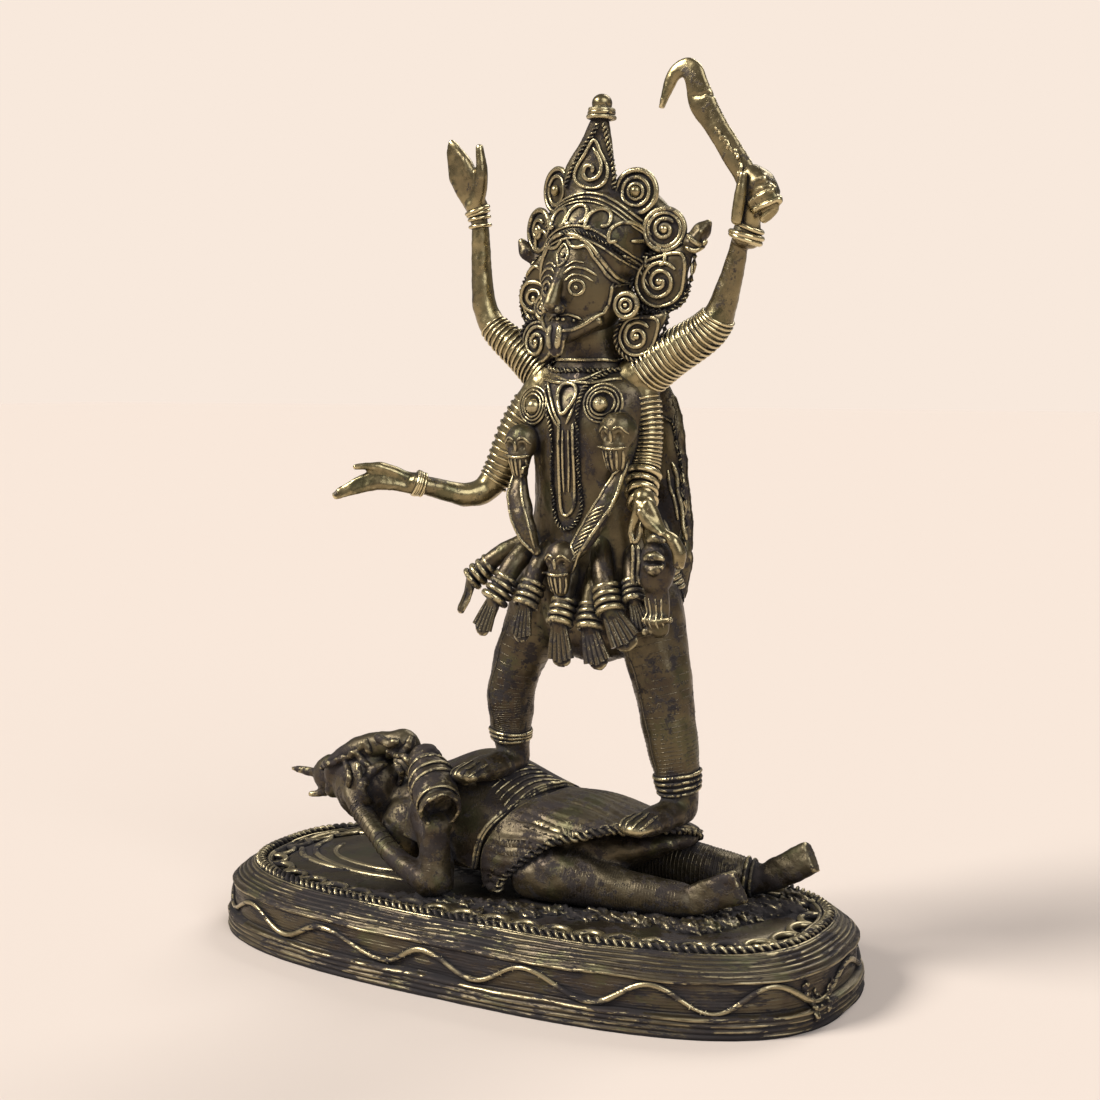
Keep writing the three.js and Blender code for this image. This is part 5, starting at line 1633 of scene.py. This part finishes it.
def bodyWires():
    wires, ropes, marks = WaxPaths(), WaxPaths(), WaxPaths()
    edges = {1: [[12.6, 2, 30], [13.6, 2.4, 38], [12.8, 2.6, 46], [11.4, 2.8, 53], [8.6, 2, 60]],
             -1: [[-9.6, 3, 31], [-11.6, 2.6, 38], [-11.8, 2.8, 46], [-10.8, 2.8, 54], [-8.6, 2, 60]]}
    for side, edge in edges.items():
        ropes.add(nestled(goddessSkin, smoothPath([stand(*p) for p in edge], 14), 0.3), 0.8, pitch=3.2)
    for number in range(26):  # nicks across the hair at her back
        z = 31 + number * 1.15
        for x, y in ((12, 3), (13, 6), (9, 9.4), (3, 10), (-3, 10), (-8, 9.4)):
            start = np.array([x + rng.normal() * 0.4, y, z + rng.normal() * 0.4])
            nick = [stand(*(start + np.array([0.5, 0, 1]) * way)) for way in (-1, 0, 1)]
            marks.add(nestled(goddessSkin, nick, 0.1), 0.3)
    for line, thick in (([[672, 462], [677, 476], [678, 492], [682, 508], [683, 524], [686, 540]], 0.8),
                        ([[668, 470], [670, 486], [675, 502], [678, 520]], 0.6),
                        ([[664, 520], [670, 535], [677, 548]], 0.7)):
        wires.add(traced(goddessSkin, line, 0.3), thick)
    toeStep, toeSpread = 1.05, 1.15
    for side, (leg, foot) in legs.items():
        marks.add(nestled(goddessSkin, leg.wound(0.06, 0.68, 26), -0.06), 0.2, taper=False)
        for share in ((0.66, 0.70, 0.74, 0.78) if side == "left" else (0.67, 0.71, 0.75)):
            wires.add(nestled(goddessSkin, leg.ring(share, 40, lift=0.3), 0.35), 0.62, closed=True)
        for angle in (-62, 118):
            marks.add(nestled(goddessSkin, leg.line(0.08, 0.62, angle, 0.2, count=24), 0.0), 0.3)
        for number in range(4):
            apart = number - 1.5
            start = foot.at(0.72)[0] + np.array([standingSize(apart * toeStep), 0, standingSize(1)])
            end = foot.at(1.0)[0] + np.array([standingSize(apart * toeSpread), standingSize(-1.6),
                                              standingSize(0.4)])
            wires.add(nestled(goddessSkin, smoothPath([start, (start + end) / 2, end], 4), 0.1), 0.5)
    return (grow("bodyWires", wires, 1, figureBrass, Sides=8),
            grow("hairRopes", ropes, 2, figureBrass, Sides=7),
            grow("bodyMarks", marks, 1, figureWound, Sides=6))


for piece in bodyWires():
    settle(piece, figureBrass)


chestLook = {  # lines of the picture on her chest, each with a thickness
    "rope": [[[548, 384], [546, 400], [549, 418], [552, 435], [553, 469], [554.3, 499.6], [558, 521.5],
              [566.4, 528.8], [576, 522.7], [582, 505.7], [579.8, 481.4], [578.6, 457], [577.4, 433],
              [578, 408.6], [582, 395], [588.3, 384.3], [598, 378.2], [608, 374.6]]],
    "wires": [
        ([[559.5, 420], [559, 445], [559.8, 481.4], [561.6, 509.4], [567.6, 515.4], [574.5, 505.7],
          [575, 481.4], [573.6, 445], [572.8, 424]], 0.6),
        ([[548.5, 382], [551, 396], [555, 412], [560.6, 424]], 0.6),
        ([[545.5, 386], [547.6, 399], [551.6, 414], [558, 426]], 0.5),
        ([[578, 394], [573.6, 408], [566.5, 424]], 0.5),
        ([[556, 377], [570, 381.9], [584.6, 379.4], [598, 373.4], [613, 368]], 0.6),
        ([[563.4, 430], [563, 460], [564.2, 492]], 0.42), ([[568.6, 430], [569.4, 460], [569, 492]], 0.42),
    ],
    "pendant": [[563.2, 414.6], [559.8, 402.5], [560.4, 390.4], [567.6, 384.3], [576.1, 386.7],
                [576.8, 395.2], [571.3, 406.1]],
    "bosses": ((-6.6, 57.4, -0.25), (4.7, 57.8, 0.1)), "rings": ((1.6, 0.42), (2.1, 0.4), (2.62, 0.4)),
}


def nearby(surface, path, lift):  # nestled, but left inside the metal where the skin is far off
    made = nestled(surface, path, lift)
    far = np.linalg.norm(made - path, axis=1) > 2 * mm
    made[far] = np.asarray(path)[far]
    return made


def chestWires():
    wires, ropes = WaxPaths(), WaxPaths()
    for x, z, way in chestLook["bosses"]:
        middle = stand(x, -7, z)
        for number, (radius, thick) in enumerate(chestLook["rings"]):
            ring = []
            for angle in np.linspace(0, 2 * math.pi, 28, endpoint=False):
                out = np.array([math.cos(angle), 0.35 * way * math.cos(angle), math.sin(angle)])
                place = middle + out * standingSize(radius)
                hit = goddessSkin.find_nearest(Vector(place))[0]
                ring.append(np.array([place[0], hit.y - (0.8 - number * 0.2) * mm, place[2]]))
            wires.add(ring, thick, closed=True)
    for line in chestLook["rope"]:
        ropes.add(traced(goddessSkin, line, 0.5, 8), 0.85, pitch=3.0)
    for line, thick in chestLook["wires"]:
        wires.add(traced(goddessSkin, line, 0.3, 6), thick)
    wires.add(traced(goddessSkin, chestLook["pendant"], 0.9, 6, closed=True), 0.62, closed=True)
    neck = standingLimb([[0, -0.9, 59.6, 6.8, 0.8], [0, -0.9, 61.4, 6, 0.84], [0, -0.8, 63.4, 5.2, 0.9],
                         [0, -0.8, 65, 4.6, 0.9]])
    for share, thick, lift in ((0.16, 0.62, 0.1), (0.72, 0.55, 0.2)):
        wires.add(nearby(goddessSkin, neck.ring(share, 48), lift + 0.2), thick, closed=True)
    ropes.add(nearby(goddessSkin, neck.ring(0.45, 80), 0.45), 1.05, closed=True, pitch=3.0)
    return grow("chestWires", wires, 1, figureBrass, Sides=8), grow("chestRopes", ropes, 2, figureBrass,
                                                                    Sides=7)


for piece in chestWires():
    settle(piece, figureBrass)


def bossBeads():
    beads = WaxPaths()
    for x, z, way in chestLook["bosses"]:
        hit = goddessSkin.find_nearest(Vector(stand(x, -7, z)))[0]
        beads.bead(np.array(hit) + np.array([way, -1, 0]) * 1.1 * mm, 2.5)
    return grow("bosses", beads, "beads", figureBrass, Segments=16, Height=1.0)


settle(bossBeads(), figureBrass)
print("chest and garland made")


# Skirt of severed arms

skirtLook = [
    {"hip": [-8.4, -3, 38.6], "wrist": [-16.4, -6.6, 32.8], "hand": [-18, -7.6, 27.6], "palm": 1.3,
     "half": 1.3, "fingers": 1},
    {"hip": [-7, -4.4, 38.6], "wrist": [-10.9, -9.4, 30.6], "hand": [-12.7, -10.4, 25.4], "palm": 1.6,
     "half": 1.5},
    {"hip": [-4.4, -4.6, 38], "wrist": [-5.8, -9.6, 30.2], "hand": [-6.2, -10.2, 24.8], "palm": 1.55,
     "half": 1.35},
    {"hip": [-0.3, -4.6, 36], "wrist": [-0.3, -9.8, 28], "hand": [0.2, -10, 21.9], "palm": 1.75,
     "half": 1.35},
    {"hip": [3, -4.6, 36], "wrist": [3.9, -9, 27.6], "hand": [5.7, -9.2, 21.9], "palm": 1.75, "half": 1.3},
    {"hip": [3.6, -5, 38.6], "wrist": [7.2, -9.2, 30], "hand": [10.4, -9.6, 25.2], "palm": 2, "half": 1.5},
    {"hip": [7.6, -3, 38], "wrist": [10.3, -8, 31.4], "hand": [12, -8.6, 27.2], "palm": 1.2, "half": 1.15},
    {"hip": [8.6, 1, 38], "wrist": [11, 2.4, 32], "hand": [11.4, 3, 27], "palm": 1.6, "half": 1.4},
    {"hip": [-8.6, 1, 38], "wrist": [-12, 2, 32], "hand": [-12.8, 2.4, 27], "palm": 1.6, "half": 1.4},
]


def skirtForms():
    shapes, wires, fans = [], WaxPaths(), WaxPaths()
    for look in skirtLook:
        hip, wrist, hand = (np.array(look[k], float) for k in ("hip", "wrist", "hand"))
        arm = standingLimb([[*hip, look["half"]],
                            [*((hip + wrist) / 2 + [0, -0.6, 0.4]), look["half"] * 1.05],
                            [*wrist, look["half"] * 0.95]])
        shapes.append(arm.shape(14))
        out = np.array([wrist[0] * 0.25, wrist[1], 0]) / np.hypot(wrist[0] * 0.25, wrist[1])
        along = (hand - wrist) / np.linalg.norm(hand - wrist)
        side = np.cross(along, out)
        side /= np.linalg.norm(side)
        count = look.get("fingers", 5)
        for number in range(count):  # straight fingers that fan out from the cuff
            place = number - (count - 1) / 2
            spread = look["palm"] * 0.46
            line = [wrist + side * place * spread * 0.5,
                    wrist + (hand - wrist) * 0.45 + side * place * spread * 0.78,
                    hand - along * (0.25 * abs(place) + 0.3) + side * place * spread]
            fans.add([stand(*(p + out * 0.22)) for p in smoothPath(line, 6)],
                     np.interp(np.linspace(0, 1, 13), [0, 0.6, 1], [0.62, 0.95, 1.08]) * look["palm"] / 1.8,
                     taper=False)
        middle = wrist + (hand - wrist) * 0.55 + out * -0.2
        shapes.append(standingLimb([[*wrist, look["half"] * 0.8, 0.8], [*middle, look["palm"] * 0.9, 0.24],
                                    [*(hand - along * 0.6), look["palm"] * 0.92, 0.17]],
                                    flatAxis=out).shape(12))
        cuff = standingLimb([[*(wrist + (hip - wrist) * 0.3), look["half"]],
                             [*(wrist + (hand - wrist) * 0.08), look["half"]]])
        for number in range(4):
            wires.add(cuff.ring(0.04 + number * 0.31, 24, lift=0.4), 0.95 * rng.uniform(0.9, 1.15),
                      closed=True)
    return (fuseWax("skirtArms", shapes, 0.55, relax=2, dents=0.12, seed=81),
            grow("skirtBangles", wires, 1, figureBrass, Sides=10),
            grow("skirtFingers", fans, 1, figureWound, Sides=9))


for piece in skirtForms():
    settle(piece, figureBrass)
print("skirt of arms made")


# Floor, light and backdrop

studio = {
    "floorHalf": 9, "floor": (0.668, 0.580, 0.519, 1), "backdrop": (0.939, 0.813, 0.716, 1),
    "room": (0.20, 0.19, 0.185, 1),
    "suns": [((-0.75, -0.75, 0.85), 3.5, 22, (1, 0.97, 0.92)), ((0.9, -0.6, 0.75), 1.5, 40, (0.93, 0.96, 1)),
             ((0.1, 0.9, 0.9), 1.2, 30, (1, 0.98, 0.95))],
}


def studioSet():
    half = studio["floorHalf"]
    corners = [(-half, -half, 0), (half, -half, 0), (half, half, 0), (-half, half, 0)]
    floor = meshObject("floor", corners, [(0, 1, 2, 3)])
    material = bpy.data.materials.new("paleFloor")
    material.use_nodes = True
    shader = material.node_tree.nodes["Principled BSDF"]
    shader.inputs["Base Color"].default_value = studio["floor"]
    shader.inputs["Roughness"].default_value = 1.0
    shader.inputs["Specular IOR Level"].default_value = 0.0
    floor.data.materials.append(material)
    world = bpy.data.worlds.new("paleRoom")
    bpy.context.scene.world = world
    world.use_nodes = True
    maker = TreeMaker(world.node_tree)
    for node in list(world.node_tree.nodes):
        world.node_tree.nodes.remove(node)
    room = maker.node("ShaderNodeBackground", Color=studio["room"], Strength=1.0)
    backdrop = maker.node("ShaderNodeBackground", Color=studio["backdrop"], Strength=1.0)
    seen = maker.node("ShaderNodeLightPath").outputs["Is Camera Ray"]
    mixed = maker.node("ShaderNodeMixShader", s0=seen, s1=room.outputs[0], s2=backdrop.outputs[0])
    maker.node("ShaderNodeOutputWorld", s0=mixed.outputs[0])
    for number, (place, power, spread, color) in enumerate(studio["suns"]):
        lamp = bpy.data.lights.new(f"softLight{number}", "SUN")
        lamp.angle = math.radians(spread)
        lamp.energy = power
        lamp.color = color
        obj = bpy.data.objects.new(f"softLight{number}", lamp)
        obj.rotation_euler = Vector(place).to_track_quat("Z", "Y").to_euler()
        bpy.context.scene.collection.objects.link(obj)
    bpy.context.scene.view_settings.view_transform = "Standard"


studioSet()
